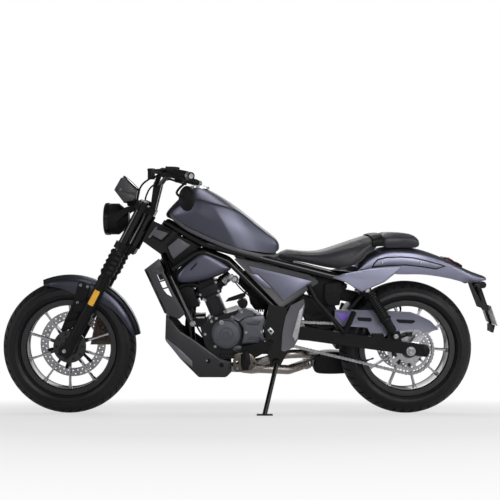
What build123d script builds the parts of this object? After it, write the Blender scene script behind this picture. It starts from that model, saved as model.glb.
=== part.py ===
from build123d import *
import os
from math import asin, atan2, cos, pi, radians, sin, tan

# Parked motorcycle, in millimetres. Everything is laid out upright first:
# X runs back from the front axle, Y points to the right side, Z up from the floor line.
# At the end the whole machine leans on its side stand and moves to its own origin.

# Stance
WHEELBASE = 1510.0
LEAN = 12.0
RAKE = 27.4
LEG_OFFSET = 36.0
AXLE_LEAD = 8.0

# Wheels and tyres
FRONT_TYRE_R = 299.0
FRONT_CROWN_R = 60.0
FRONT_TYRE_W = 124.0
REAR_TYRE_R = 297.0
REAR_CROWN_R = 70.0
REAR_TYRE_W = 140.0
RIM_OPENING_R = 186.5
RIM_FLANGE_R = 213.0
RIM_WELL_R = 199.0
BEAD_R = 203.0
FRONT_RIM_W = 76.0
REAR_RIM_W = 94.0
SPOKE_COUNT = 10
SPOKE_ROOT_W = 15.0
SPOKE_TIP_W = 10.0
FRONT_SPOKE_DEEP = 28.0
REAR_SPOKE_DEEP = 34.0
FRONT_HUB_R = 38.0
FRONT_FLANGE_R = 80.0
REAR_HUB_R = 48.0
REAR_FLANGE_R = 66.0
AXLE_R = 9.0
AXLE_BORE_R = 5.0
RUNNING_FIT = 0.05
SEAT_GAP = 0.3

# Brakes
FRONT_DISC_R = 150.0
FRONT_DISC_IN_R = 112.0
FRONT_DISC_Y = 66.0
REAR_DISC_R = 115.0
REAR_DISC_IN_R = 84.0
REAR_DISC_Y = 76.0
DISC_T = 4.5

# Final drive
CHAIN_Y = -86.0
CHAIN_PITCH_R = 104.0
PINION_PITCH_R = 36.0
PINION_X = 835.0
PINION_Z = 392.0
CHAIN_H = 14.0
CHAIN_PLATE_T = 3.0
CHAIN_INSIDE_W = 11.0
ROLLER_H = 8.0
SPROCKET_TIP_R = 97.5
SPROCKET_ROOT_R = 90.5
SPROCKET_T = 6.0
SPROCKET_TEETH = 40

# Fork and bars
LEG_Y = 102.0
FORK_TUBE_R = 20.5
FORK_LOWER_R = 25.0
FORK_TOP_Z = 950.0
LOWER_CLAMP_Z = 755.0
UPPER_CLAMP_Z = FORK_TOP_Z - 24
CLAMP_T = 30.0
CLAMP_D = 52.0
CLAMP_W = 110.0
GAITER_TOP_Z = 735.0
GAITER_BOTTOM_Z = 628.0
GAITER_FOLDS = 5
BAR_R = 11.0
BAR_HALF = 400.0
BAR_CLAMP_X = 398.0
BAR_CLAMP_Z = 1030.0
GRIP_R = 16.0
GRIP_L = 122.0
CONTROL_HOSE_R = 4.0
LAMP_Z = 874.0
LAMP_R = 70.0
FENDER_GAP = 20.0
FENDER_W = 134.0
FENDER_T = 3.0
FENDER_SKIRT = 38.0

# Chassis
TUBE_R = 17.5
HEAD_TUBE_R = 32.0
TUBE_Y = 110.0
PIVOT_X = 897.0
PIVOT_Z = 389.0
PIVOT_PLATE_Y = 122.0
PIVOT_PLATE_T = 10.0
ARM_Y = 110.0
ARM_T = 24.0
ARM_H = 56.0
GUSSET_HALF = 30.0
SHOCK_EYE_T = 20.0
SHOCK_SPRING_R = 26.0

# Engine
GENERATOR_X = 706.0
GENERATOR_Z = 371.0
GENERATOR_R = 66.0
CASE_Y = 92.0
CASE_BACK_Y = 70.0
CYLINDER_TILT = 18.0
CYLINDER_X = 694.0
CYLINDER_Z = 455.0
PIPE_R = 22.0
LUG_Y = 94.7
COWL_HALF = 96.0
SILENCER_IN_Y = 84.0
SILENCER_OUT_Y = 176.0

# Side stand
STAND_X = 923.0
STAND_Y = -145.0
STAND_Z = 248.0
STAND_AXIS = (0.0, -0.885, 0.466)
FOOT_X = 866.0
FOOT_Y = -268.0
FOOT_T = 7.0
STAND_EYE_T = 14.0
STAND_PIN_R = 6.0


# Shared figures that follow from the sizes above
def axle_height(tyre_r, crown_r):
    """Height of an axle, along the machine's own plane, that sets its tyre on the floor when leaned."""
    return tyre_r + crown_r * (1.0 / cos(radians(LEAN)) - 1.0)


FRONT_AXLE_Z = axle_height(FRONT_TYRE_R, FRONT_CROWN_R)
REAR_AXLE_Z = axle_height(REAR_TYRE_R, REAR_CROWN_R)
RAKE_SLOPE = tan(radians(RAKE))
FORK_DIR = Vector(sin(radians(RAKE)), 0, cos(radians(RAKE)))


def leg_x(z):
    """X of the fork legs' centre line at height z."""
    return AXLE_LEAD / cos(radians(RAKE)) + (z - FRONT_AXLE_Z) * RAKE_SLOPE


def steer_x(z):
    """X of the steering axis at height z."""
    return leg_x(z) + LEG_OFFSET / cos(radians(RAKE))


# Form helpers
def plate(points, y0, y1):
    """Side profile of (x, z) points, extruded from y0 to y1."""
    face = Plane.XZ.offset(-y0) * make_face(Polyline(*points, close=True))
    return extrude(face, amount=y0 - y1)


def plan(points, z0, z1):
    """Top profile of (x, half width) points, mirrored about the middle, from z0 to z1."""
    outline = [(x, -w) for x, w in points] + [(x, w) for x, w in reversed(points)]
    face = Plane.XY.offset(z0) * make_face(Polyline(*outline, close=True))
    return extrude(face, amount=z1 - z0)


def front_profile(points, x0, x1):
    """Front profile of (half width, z) points, mirrored about the middle, from x0 to x1."""
    outline = [(-w, z) for w, z in points] + [(w, z) for w, z in reversed(points)]
    face = Plane.YZ.offset(x0) * make_face(Polyline(*outline, close=True))
    return extrude(face, amount=x1 - x0)


def across(radius, x, z, y0, y1):
    """Cylinder along Y."""
    return Pos(x, (y0 + y1) / 2, z) * Rot(90, 0, 0) * Cylinder(radius, abs(y1 - y0))


def rod(start, end, radius):
    """Cylinder from one point to another."""
    start, end = Vector(*start), Vector(*end)
    run = end - start
    upright = (Align.CENTER, Align.CENTER, Align.MIN)
    return Plane(origin=start, z_dir=run) * Cylinder(radius, run.length, align=upright)


def pipe(points, radius, bend):
    """Round bar along straight runs joined by arcs."""
    line = FilletPolyline(*points, radius=bend)
    return sweep(Plane(origin=line @ 0, z_dir=line % 0) * Circle(radius), path=line)


def hose(points, radius):
    """Hose along straight runs, with the widest arcs that its shortest runs leave room for."""
    knots = [Vector(*point) for point in points]
    runs = [b - a for a, b in zip(knots, knots[1:])]
    widest = min(0.45 * min(before.length, after.length) / tan(radians(before.get_angle(after)) / 2)
                 for before, after in zip(runs, runs[1:]))
    print("hose", round(sum(run.length for run in runs)), "bend radius", round(widest, 1))
    return pipe(points, radius, widest)


def mirrored(solid):
    """The piece and its twin on the other side."""
    return [solid, mirror(solid, about=Plane.XZ)]


def on_fork(y, z, back=0.0, up=0.0):
    """Place on a fork leg's line at height z, its Z axis along the leg, moved back and up the leg."""
    return Plane(origin=(leg_x(z), y, z), x_dir=(0, 1, 0), z_dir=FORK_DIR) * Pos(0, -back, up)


def on_wheel(x, z):
    """Place at an axle, its Z axis towards the left side."""
    return Pos(x, 0, z) * Rot(90, 0, 0)


# Wheels, drawn about Z with the left side up
def rim(width, hub_r, hub_left, hub_right, flange_r, flange_z, spoke_deep, first_angle):
    """Cast wheel: barrel with a dropped well, spokes, and a hub bored for the axle."""
    half = width / 2
    barrel = Plane.XZ * make_face(Polyline(
        (RIM_OPENING_R, -half + 9), (RIM_OPENING_R + 4, -half), (RIM_FLANGE_R, -half),
        (RIM_FLANGE_R, -half + 5), (BEAD_R, -half + 6), (RIM_WELL_R, -half + 20),
        (RIM_WELL_R, half - 20), (BEAD_R, half - 6), (RIM_FLANGE_R, half - 5),
        (RIM_FLANGE_R, half), (RIM_OPENING_R + 4, half), (RIM_OPENING_R, half - 9), close=True))
    body = revolve(barrel, axis=Axis.Z)
    body += Pos(0, 0, (hub_left - hub_right) / 2) * Cylinder(hub_r, hub_left + hub_right)
    body += Pos(0, 0, flange_z) * Cylinder(flange_r, 9)
    reach = RIM_OPENING_R + 2
    spoke = extrude(make_face(Polyline(
        (hub_r - 4, -SPOKE_ROOT_W / 2), (reach, -SPOKE_TIP_W / 2),
        (reach, SPOKE_TIP_W / 2), (hub_r - 4, SPOKE_ROOT_W / 2), close=True)),
        amount=spoke_deep / 2, both=True)
    for number in range(SPOKE_COUNT):
        body += Rot(0, 0, first_angle + number * 360 / SPOKE_COUNT) * spoke
    between = 360 / SPOKE_COUNT / 2
    holes = PolarLocations((hub_r + flange_r) / 2, SPOKE_COUNT, start_angle=first_angle + between)
    hole_r = min(8.0, (flange_r - hub_r) / 4)
    body -= Pos(0, 0, flange_z) * holes * Cylinder(hole_r, 12)
    return body - Cylinder(AXLE_R + RUNNING_FIT, 2 * (hub_left + hub_right))


def tyre(tyre_r, crown_r, tyre_w, rim_w):
    """Tyre section of crown, two side walls and two beads, turned about the axle."""
    half = rim_w / 2
    # the crown has a corner at the lean angle, where the parked tyre meets the floor
    crown = [(tyre_r - crown_r + crown_r * cos(turn), crown_r * sin(turn))
             for turn in (radians(LEAN * step) for step in (0, 1, 2, 3, 4, 5))]
    wall = [((RIM_FLANGE_R + crown[-1][0]) / 2, tyre_w / 2), (RIM_FLANGE_R + 12, tyre_w / 2 - 6),
            (RIM_FLANGE_R + 3, half - 3), (RIM_FLANGE_R + 0.5, half - 5 - SEAT_GAP),
            (BEAD_R + 1, half - 6 - SEAT_GAP)]
    right = crown + wall
    left = [(r, -y) for r, y in reversed(right[1:])]
    return revolve(Plane.XZ * make_face(Polyline(*left, *right, close=True)), axis=Axis.Z)


def brake_disc(outer_r, inner_r, hub_r, arms):
    """Friction ring on a carrier with open windows between its arms."""
    ring = Cylinder(outer_r, DISC_T) - Cylinder(inner_r, DISC_T + 1)
    carrier = Cylinder(hub_r + 14, DISC_T) - Cylinder(hub_r - 12, DISC_T + 1)
    arm = Pos((hub_r + inner_r) / 2, 0, 0) * Box(inner_r - hub_r + 12, 16, DISC_T)
    for number in range(arms):
        ring += Rot(0, 0, number * 360 / arms) * arm
    return ring + carrier


nodes = {}

front_hub_left = 62.0
front_hub_right = FRONT_DISC_Y - DISC_T / 2 - 2 * SEAT_GAP
front_place = on_wheel(0, FRONT_AXLE_Z)
nodes["front_rim"] = [front_place * rim(
    FRONT_RIM_W, FRONT_HUB_R, front_hub_left, front_hub_right,
    FRONT_FLANGE_R, 12, FRONT_SPOKE_DEEP, -90)]
nodes["front_tyre"] = [front_place * tyre(FRONT_TYRE_R, FRONT_CROWN_R, FRONT_TYRE_W, FRONT_RIM_W)]
nodes["front_disc"] = [front_place * Pos(0, 0, -FRONT_DISC_Y) * brake_disc(
    FRONT_DISC_R, FRONT_DISC_IN_R, FRONT_HUB_R, 6)]

rear_hub_left = -CHAIN_Y - SPROCKET_T / 2 - 2 * SEAT_GAP
rear_hub_right = REAR_DISC_Y - DISC_T / 2 - 2 * SEAT_GAP
rear_place = on_wheel(WHEELBASE, REAR_AXLE_Z)
nodes["rear_rim"] = [rear_place * rim(
    REAR_RIM_W, REAR_HUB_R, rear_hub_left, rear_hub_right,
    REAR_FLANGE_R, 14, REAR_SPOKE_DEEP, -4.5)]
nodes["rear_tyre"] = [rear_place * tyre(REAR_TYRE_R, REAR_CROWN_R, REAR_TYRE_W, REAR_RIM_W)]
nodes["rear_disc"] = [rear_place * Pos(0, 0, -REAR_DISC_Y) * brake_disc(
    REAR_DISC_R, REAR_DISC_IN_R, REAR_HUB_R, 5)]


def sprocket():
    """Toothed plate with lightening windows, its bore open around the axle."""
    step = 360 / SPROCKET_TEETH
    # angle within one tooth's step, radius
    tooth = [(-0.34, SPROCKET_ROOT_R), (-0.12, SPROCKET_TIP_R),
             (0.12, SPROCKET_TIP_R), (0.34, SPROCKET_ROOT_R)]
    outline = []
    for number in range(SPROCKET_TEETH):
        for share, r in tooth:
            turn = radians((number + share) * step)
            outline.append((r * cos(turn), r * sin(turn)))
    body = extrude(make_face(Polyline(*outline, close=True)), amount=SPROCKET_T / 2, both=True)
    body -= Cylinder(REAR_HUB_R - 12, SPROCKET_T + 1)
    window = Cylinder(SPROCKET_ROOT_R - 10, SPROCKET_T + 1) - Cylinder(REAR_HUB_R + 10, SPROCKET_T + 2)
    for number in range(5):
        window -= Rot(0, 0, number * 72) * Pos(SPROCKET_ROOT_R / 2, 0, 0) * Box(SPROCKET_ROOT_R, 16, 20)
    return body - window


nodes["rear_sprocket"] = [rear_place * Pos(0, 0, -CHAIN_Y) * sprocket()]


def belt_face(growth):
    """Face inside the chain's run, grown outwards from its pitch line."""
    r1, r2 = PINION_PITCH_R + growth, CHAIN_PITCH_R + growth
    dx, dz = WHEELBASE - PINION_X, REAR_AXLE_Z - PINION_Z
    reach = (dx * dx + dz * dz) ** 0.5
    heading, opening = atan2(dz, dx), asin((r2 - r1) / reach)
    up, down = heading + pi / 2 + opening, heading - pi / 2 - opening

    def spot(x, z, r, turn):
        return (x + r * cos(turn), z + r * sin(turn))

    pinion, wheel = (PINION_X, PINION_Z, r1), (WHEELBASE, REAR_AXLE_Z, r2)
    p_up, p_down, p_nose = spot(*pinion, up), spot(*pinion, down), spot(*pinion, heading + pi)
    w_up, w_down, w_back = spot(*wheel, up), spot(*wheel, down), spot(*wheel, heading)
    return make_face([
        ThreePointArc(p_up, p_nose, p_down), Line(p_down, w_down),
        ThreePointArc(w_down, w_back, w_up), Line(w_up, p_up)])


def chain_band(inner, outer, y0, y1):
    """Closed band round both sprockets, between two offsets from the pitch line."""
    face = Plane.XZ.offset(-y0) * (belt_face(outer) - belt_face(inner))
    return extrude(face, amount=y0 - y1)


inside, outside = CHAIN_INSIDE_W / 2, CHAIN_INSIDE_W / 2 + CHAIN_PLATE_T
chain = chain_band(-CHAIN_H / 2, CHAIN_H / 2, CHAIN_Y - outside, CHAIN_Y - inside)
chain += chain_band(-CHAIN_H / 2, CHAIN_H / 2, CHAIN_Y + inside, CHAIN_Y + outside)
chain += chain_band(-ROLLER_H / 2, ROLLER_H / 2, CHAIN_Y - inside, CHAIN_Y + inside)
nodes["chain"] = [chain]

# Fork, with hollow axle clamped in the lowers
axle_end = LEG_Y + FORK_LOWER_R - 12
nodes["front_axle"] = [
    across(AXLE_R, 0, FRONT_AXLE_Z, -axle_end, axle_end) - across(AXLE_BORE_R, 0, FRONT_AXLE_Z, -axle_end, axle_end)]

lowers, tubes, gaiters = [], [], []
for side in (-1, 1):
    y = side * LEG_Y
    foot_z = FRONT_AXLE_Z - 26
    lower = rod((leg_x(foot_z), y, foot_z), (leg_x(GAITER_BOTTOM_Z), y, GAITER_BOTTOM_Z), FORK_LOWER_R)
    lower += across(FORK_LOWER_R + 1, 0, FRONT_AXLE_Z, y - FORK_LOWER_R + 4, y + FORK_LOWER_R - 4)
    lug_edges = sorted((side * (LEG_Y - FORK_LOWER_R), side * LEG_Y))
    lower += plate([(36, 470), (36, 496), (100, 520), (100, 470)], *lug_edges)
    lower += plate([(-4, 398), (-4, 420), (60, 436), (60, 398)], *lug_edges)
    lower -= across(AXLE_R + SEAT_GAP, 0, FRONT_AXLE_Z, y - 40, y + 40)
    lowers.append(lower)
    gaiter_low = GAITER_BOTTOM_Z + SEAT_GAP
    tube = rod((leg_x(gaiter_low), y, gaiter_low), (leg_x(FORK_TOP_Z), y, FORK_TOP_Z), FORK_TUBE_R)
    tubes.append(tube)
    length = (GAITER_TOP_Z - gaiter_low - 1) / cos(radians(RAKE))
    fold = length / GAITER_FOLDS
    bore = FORK_TUBE_R + SEAT_GAP
    outline = [(bore, 0), (bore + 7, 0)]
    for number in range(GAITER_FOLDS):
        outline += [(bore + 13, (number + 0.5) * fold), (bore + 7, (number + 1) * fold)]
    outline += [(bore, length)]
    bellows = revolve(Plane.XZ * make_face(Polyline(*outline, close=True)), axis=Axis.Z)
    gaiters.append(on_fork(y, gaiter_low + SEAT_GAP) * bellows)
nodes["fork_lowers"] = lowers
nodes["fork_tubes"] = tubes
nodes["fork_gaiters"] = gaiters


def clamp(z, thick, grow=0.0):
    """Fork clamp across both legs, open round each leg."""
    body = Box(2 * LEG_Y, CLAMP_D + 2 * grow, thick + 2 * grow)
    body += Pos(0, -LEG_OFFSET / 2 - 6, 0) * Box(CLAMP_W + 2 * grow, LEG_OFFSET + 34 + 2 * grow, thick + 2 * grow)
    for side in (-1, 1):
        body += Pos(side * LEG_Y, 0, 0) * Cylinder(FORK_TUBE_R + 10 + grow, thick + 2 * grow)
    for side in (-1, 1):
        body -= Pos(side * LEG_Y, 0, 0) * Cylinder(FORK_TUBE_R + SEAT_GAP, thick + 2 * grow + 2)
    return on_fork(0, z) * body


clamp_span = (UPPER_CLAMP_Z - LOWER_CLAMP_Z) / cos(radians(RAKE))
stem_r = HEAD_TUBE_R - 9
clamps = clamp(LOWER_CLAMP_Z, CLAMP_T) + clamp(UPPER_CLAMP_Z, CLAMP_T)
clamps += on_fork(0, LOWER_CLAMP_Z, LEG_OFFSET, clamp_span / 2) * Cylinder(stem_r, clamp_span)
nodes["triple_clamps"] = [clamps]


def clamp_top(back):
    """Point (x, z) on the upper clamp's top face, a distance back from the legs."""
    spot = (on_fork(0, UPPER_CLAMP_Z, back, CLAMP_T / 2 + SEAT_GAP) * Pos(0, 0, 0)).position
    return spot.X, spot.Z


# Handlebar with its risers
bar_half = [(BAR_CLAMP_X, -95, BAR_CLAMP_Z), (428, -190, 1086), (554, -BAR_HALF, 1052)]
bar_points = [(x, -y, z) for x, y, z in reversed(bar_half)] + bar_half
bar_points.reverse()
handlebar = pipe(bar_points, BAR_R, 55)
for side in (-1, 1):
    handlebar += plate([clamp_top(30), clamp_top(54), (416, BAR_CLAMP_Z - 4), (BAR_CLAMP_X + 6, BAR_CLAMP_Z + 17),
                        (BAR_CLAMP_X - 16, BAR_CLAMP_Z + 8)], side * 40 - 13, side * 40 + 13)
nodes["handlebar"] = [handlebar]


def along_grip(side, distance):
    """Place on the bar's end run, its Z axis outwards, at a distance in from the bar's end."""
    end = Vector(bar_half[2][0], side * BAR_HALF, bar_half[2][2])
    knee = Vector(bar_half[1][0], side * 190, bar_half[1][2])
    out = (end - knee).normalized()
    return Plane(origin=end - out * distance, z_dir=out)


controls = []
for side in (-1, 1):
    sleeve = Cylinder(GRIP_R, GRIP_L) - Cylinder(BAR_R + SEAT_GAP, GRIP_L + 1)
    controls.append(along_grip(side, GRIP_L / 2) * sleeve)
    pod = Box(46, 44, 40) - Cylinder(BAR_R + SEAT_GAP, 41)
    controls.append(along_grip(side, GRIP_L + 21) * pod)
    controls.append(along_grip(side, -13) * Cylinder(GRIP_R, 25))


def ahead_of_bar(side, y, ahead, drop):
    """Point ahead of the bar's end run, square to it, y out from the middle."""
    share = (y - 190) / (BAR_HALF - 190)
    knee, end = bar_half[1], bar_half[2]
    return (knee[0] + share * (end[0] - knee[0]) - 0.86 * ahead, side * (y + 0.51 * ahead),
            knee[2] + share * (end[2] - knee[2]) - drop)


for side, pod in ((-1, 1), (1, 4)):
    perch = rod(ahead_of_bar(side, 228, BAR_R + SEAT_GAP, 0), ahead_of_bar(side, 228, 50, 4), 10)
    blade = pipe([ahead_of_bar(side, 206, 52, 4), ahead_of_bar(side, 262, 60, 6), ahead_of_bar(side, 372, 44, 12)],
                 5.5, 40)
    controls[pod] += perch + blade
master = Pos(404, 214, 1100) * Cylinder(23, 18) + rod((404, 214, 1092), (421, 236, 1082), 8)
cup = Pos(345, 205, 1086) * Cylinder(17.5, 50) + rod((350, 205, 1068), (408, 212, 1092), 6)
controls[4] += master + cup
for side in (-1, 1):
    route = [(434, side * 214, 1062), (386, side * 204, 1052), (340, side * 182, 1022), (322, side * 156, 972),
             (322, side * 136.2, 915)]
    controls.append(hose(route, CONTROL_HOSE_R))
nodes["bar_controls"] = controls

# Instrument and lamp ahead of the clamps
instrument = plate([(244, 1063), (210, 1005), (223, 988), (252, 945), (300, 955), (312, 999)], -62, 62)
instrument += plate([(256, 950), (262, 930), (345, 930), (345, 952), (300, 960)], -24, 24)
nodes["instrument"] = [instrument - clamp(UPPER_CLAMP_Z, CLAMP_T, SEAT_GAP)]
from_front = (Align.CENTER, Align.CENTER, Align.MIN)
lamp = Pos(160, 0, LAMP_Z) * Rot(0, 90, 0) * Cylinder(LAMP_R, 62, align=from_front)
lamp += Pos(222, 0, LAMP_Z) * Rot(0, 90, 0) * Cone(LAMP_R, 34, 44, align=from_front)
for side in (-1, 1):
    edges = sorted((side * (LAMP_R - 1), side * (LAMP_R + 6)))
    lamp += plate([(200, 862), (200, 888), (262, 928), (345, 940), (345, 918), (270, 905), (216, 862)], *edges)
lamp -= clamp(UPPER_CLAMP_Z, CLAMP_T, SEAT_GAP)
for side in (-1, 1):
    lamp -= on_fork(side * LEG_Y, UPPER_CLAMP_Z) * Cylinder(FORK_TUBE_R + SEAT_GAP, 120)
nodes["headlight"] = [lamp]

# Front fender round the tyre, on its stays
fender_r = FRONT_TYRE_R + FENDER_GAP + FENDER_T
crown = Plane.XZ * make_face([
    ThreePointArc((fender_r - FENDER_SKIRT, -FENDER_W / 2), (fender_r, 0), (fender_r - FENDER_SKIRT, FENDER_W / 2)),
    Line((fender_r - FENDER_SKIRT, FENDER_W / 2), (fender_r - FENDER_SKIRT, FENDER_W / 2 - FENDER_T)),
    ThreePointArc((fender_r - FENDER_SKIRT, FENDER_W / 2 - FENDER_T), (fender_r - FENDER_T, 0),
                  (fender_r - FENDER_SKIRT, -FENDER_W / 2 + FENDER_T)),
    Line((fender_r - FENDER_SKIRT, -FENDER_W / 2 + FENDER_T), (fender_r - FENDER_SKIRT, -FENDER_W / 2))])
fender = revolve(crown, axis=Axis.Z, revolution_arc=102)
fender = front_place * Rot(0, 0, 10) * fender
stay_in = FRONT_DISC_Y + DISC_T / 2 + 5.3
stay_out = LEG_Y - FORK_LOWER_R - SEAT_GAP
stay_line = [(56, 592), (104, 584), (66, 470), (22, 392), (-22, 380), (-6, 430), (30, 500)]
for side in (-1, 1):
    fender += plate(stay_line, *sorted((side * stay_in, side * stay_out)))
    tab = sorted((side * (FENDER_W / 2 - 15), side * stay_out))
    fender += plate([(56, 592), (104, 584), (98, 570), (50, 578)], *tab)
nodes["front_fender"] = [fender]

nodes["front_brake"] = [plate([(84, 300), (176, 300), (176, 428), (110, 428)], FRONT_DISC_Y - 26, FRONT_DISC_Y + 30)
                        - across(FRONT_DISC_R + 6, 0, FRONT_AXLE_Z, FRONT_DISC_Y - 9, FRONT_DISC_Y + 9)]
brake_route = [(310, 148, 905), (258, 146, 800), (206, 144, 700), (164, 142, 600), (150, 130, 520), (142, 98, 462),
               (138, 82, 430)]
nodes["front_brake"].append(hose(brake_route, CONTROL_HOSE_R))

# Bar end mirrors
mirrors = []
for side in (-1, 1):
    hang = side * (BAR_HALF + 11)
    arm = rod((560, hang, 1050 - GRIP_R - 3), (508, hang, 985), 5)
    arm += rod((508, hang, 985), (545, hang, 964), 5)
    mirrors.append(arm + Pos(548, hang, 960) * Rot(0, 90, side * 25) * Cylinder(50, 14))
nodes["mirrors"] = mirrors

# Chassis: head with its plates, then tubes that meet it
head = on_fork(0, LOWER_CLAMP_Z, LEG_OFFSET, clamp_span / 2) * Cylinder(HEAD_TUBE_R, clamp_span - CLAMP_T - 1)
gusset_line = [(376, 868), (414, 850), (428, 871), (500, 815), (520, 740), (462, 668), (425, 706), (328, 776)]
head += plate(gusset_line, -GUSSET_HALF, GUSSET_HALF)
head -= on_fork(0, LOWER_CLAMP_Z, LEG_OFFSET, clamp_span / 2) * Cylinder(stem_r + RUNNING_FIT, clamp_span)
nodes["main_frame"] = [head]

pivot_line = [(890, 505), (965, 490), (980, 400), (975, 300), (938, 232), (898, 232), (886, 300), (872, 400)]
plate_out = PIVOT_PLATE_Y + PIVOT_PLATE_T / 2
plate_in = PIVOT_PLATE_Y - PIVOT_PLATE_T / 2
arm_in, arm_out = ARM_Y - ARM_T / 2, ARM_Y + ARM_T / 2
gusset = plate(gusset_line, -GUSSET_HALF, GUSSET_HALF)
welded = plate(pivot_line, -plate_out - SEAT_GAP, -plate_in + SEAT_GAP)
upper = pipe([(436, -36, 859), (611, -TUBE_Y, 766), (1181, -TUBE_Y, 621), (1300, -84, 612), (1500, -77, 664)],
             TUBE_R, 60)
upper += plate([(1298, 552), (1336, 552), (1340, 622), (1296, 622)], -arm_out, -84)
upper -= gusset
down = pipe([(425, -22, 715), (457, -92, 624), (549, -TUBE_Y, 430)], TUBE_R - 3, 60) - gusset
stay = rod((966, -TUBE_Y, 480), (1092, -TUBE_Y, 622), TUBE_R - 4) - welded - upper
branch = pipe([(470, -TUBE_Y - 6, 656), (590, -TUBE_Y - 6, 738), (713, -TUBE_Y - 6, 690), (925, -TUBE_Y - 6, 480)],
              TUBE_R - 6, 60) - welded - upper - down
nodes["frame_tubes"] = [twin for tube in (upper, down, stay, branch) for twin in mirrored(tube)]

# Pivot plates with the swingarm shaft, and a lug for the side stand
stand_dir = Vector(*STAND_AXIS).normalized()
stand_place = Plane(origin=(STAND_X, STAND_Y, STAND_Z), x_dir=(1, 0, 0), z_dir=stand_dir)
plates = mirrored(plate(pivot_line, -plate_out, -plate_in))
carrier = plates[0] + plates[1] + across(10, PIVOT_X, PIVOT_Z, -plate_out - 6, plate_out + 6)
stand_lug = stand_place * Pos(0, 0, -STAND_EYE_T / 2 - SEAT_GAP - 8) * Cylinder(15, 16)
carrier += stand_lug + stand_place * Pos(0, 0, -4) * Cylinder(STAND_PIN_R, STAND_EYE_T + 14)
nodes["pivot_plates"] = [carrier]

# Swingarm: arms inside the pivot plates, a cross tube between the chain's runs
arm_line = [(PIVOT_X - 24, PIVOT_Z + ARM_H / 2), (1060, PIVOT_Z + 14), (1580, REAR_AXLE_Z + 26),
            (1590, REAR_AXLE_Z), (1580, REAR_AXLE_Z - 26), (1060, PIVOT_Z - 44), (PIVOT_X - 24, PIVOT_Z - ARM_H / 2)]
arm_rear = plate([(1000, 200), (1700, 200), (1700, 500), (1000, 500)], -arm_out, -arm_in)
arm_front = plate([(PIVOT_X - 40, 200), (1000, 200), (1000, 500), (PIVOT_X - 40, 500)], -plate_in + 1, -arm_in)
arm = plate(arm_line, -arm_out, -arm_in) & (arm_rear + arm_front)
arm += plate([(1405, 330), (1418, 384), (1462, 384), (1476, 320)], -arm_out, -arm_in)
arm += plate([(1340, 340), (1344, 374), (1390, 374), (1400, 340)], -arm_out, -arm_in)
arms = mirrored(arm)
swingarm = arms[0] + arms[1] + plate([(1010, 350), (1060, 346), (1060, 390), (1010, 396)], -arm_in - 2, arm_in + 2)
swingarm += across(20, PIVOT_X, PIVOT_Z, -arm_in - 2, arm_in + 2)
swingarm -= across(10 + SEAT_GAP, PIVOT_X, PIVOT_Z, -150, 150)
swingarm -= across(AXLE_R + SEAT_GAP, WHEELBASE, REAR_AXLE_Z, -150, 150)
nodes["swingarm"] = [swingarm]
rear_end = arm_out + 14
nodes["rear_axle"] = [
    across(AXLE_R, WHEELBASE, REAR_AXLE_Z, -rear_end, rear_end)
    - across(AXLE_BORE_R, WHEELBASE, REAR_AXLE_Z, -rear_end, rear_end)]

# Rear shocks between the subframe lugs and the arm lugs
shock_y = -arm_out - SEAT_GAP - SHOCK_EYE_T / 2
shock = rod((1317, shock_y, 567), (1441, shock_y, 366), SHOCK_EYE_T / 2 - 1)
shock += rod((1333, shock_y, 541), (1406, shock_y, 423), SHOCK_SPRING_R)
shock -= plate([(1290, 500), (1345, 500), (1345, 640), (1290, 640)], -arm_out - SEAT_GAP, -60)
for x, z in ((1317, 567), (1441, 366)):
    shock += across(15, x, z, shock_y - SHOCK_EYE_T / 2, shock_y + SHOCK_EYE_T / 2)
nodes["rear_shocks"] = mirrored(shock)

# Engine: cases, a cylinder leaning forward, covers on both sides


def deck(along):
    """Point (x, z) on the cylinder's joint face, a distance back from the bore."""
    turn = radians(CYLINDER_TILT)
    return CYLINDER_X + along * cos(turn), CYLINDER_Z + along * sin(turn)


front_case = [(612, 318), (590, 400), deck(-70), deck(60), (772, 466), (780, 300), (760, 262), (664, 258)]
rear_case = [(700, 260), deck(0), deck(60), (820, 462), (864, 440), (864, 330), (840, 268)]
rear_lug = across(13, 902, 290, -plate_in + SEAT_GAP, plate_in - SEAT_GAP)
rear_lug += plate([(830, 276), (830, 318), (902, 303), (902, 277)], -CASE_BACK_Y, CASE_BACK_Y)
case = plate(rear_case, -CASE_BACK_Y, CASE_BACK_Y) + plate(front_case, -CASE_Y, CASE_Y)
case += rear_lug + across(9, 670, 268, -COWL_HALF + SEAT_GAP, COWL_HALF - SEAT_GAP)
for side in (-1, 1):
    case += plate([(546, 402), (546, 436), (610, 440), (610, 400)], *sorted((side * 50, side * LUG_Y)))
nodes["crankcase"] = [case]
bore_place = Pos(CYLINDER_X, 0, CYLINDER_Z + SEAT_GAP) * Rot(0, -CYLINDER_TILT, 0)
cylinder = bore_place * (Pos(0, 0, 46) * Box(104, 112, 92) + Pos(0, 0, 126) * Box(124, 136, 70))
cylinder += bore_place * Pos(78, -8, 128) * Rot(0, 78, 0) * Cylinder(23, 70)
nodes["cylinder"] = [cylinder]
generator = across(GENERATOR_R, GENERATOR_X, GENERATOR_Z, -CASE_Y - 22, -CASE_Y)
pinion_cover = plate([(784, 450), (862, 456), (868, 440), (868, 334), (784, 318)], -CASE_Y - 24, CHAIN_Y - 13)
pinion_cover += plate([(784, 450), (792, 450), (792, 318), (784, 318)], -CASE_Y - 24, -CASE_BACK_Y)
pinion_cover -= chain_band(-60, CHAIN_H / 2 + 3, CHAIN_Y - 12, CHAIN_Y + 12)
clutch = across(GENERATOR_R + 4, 716, 366, CASE_Y, CASE_Y + 26)
nodes["engine_covers"] = [generator, pinion_cover, clutch]

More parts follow.
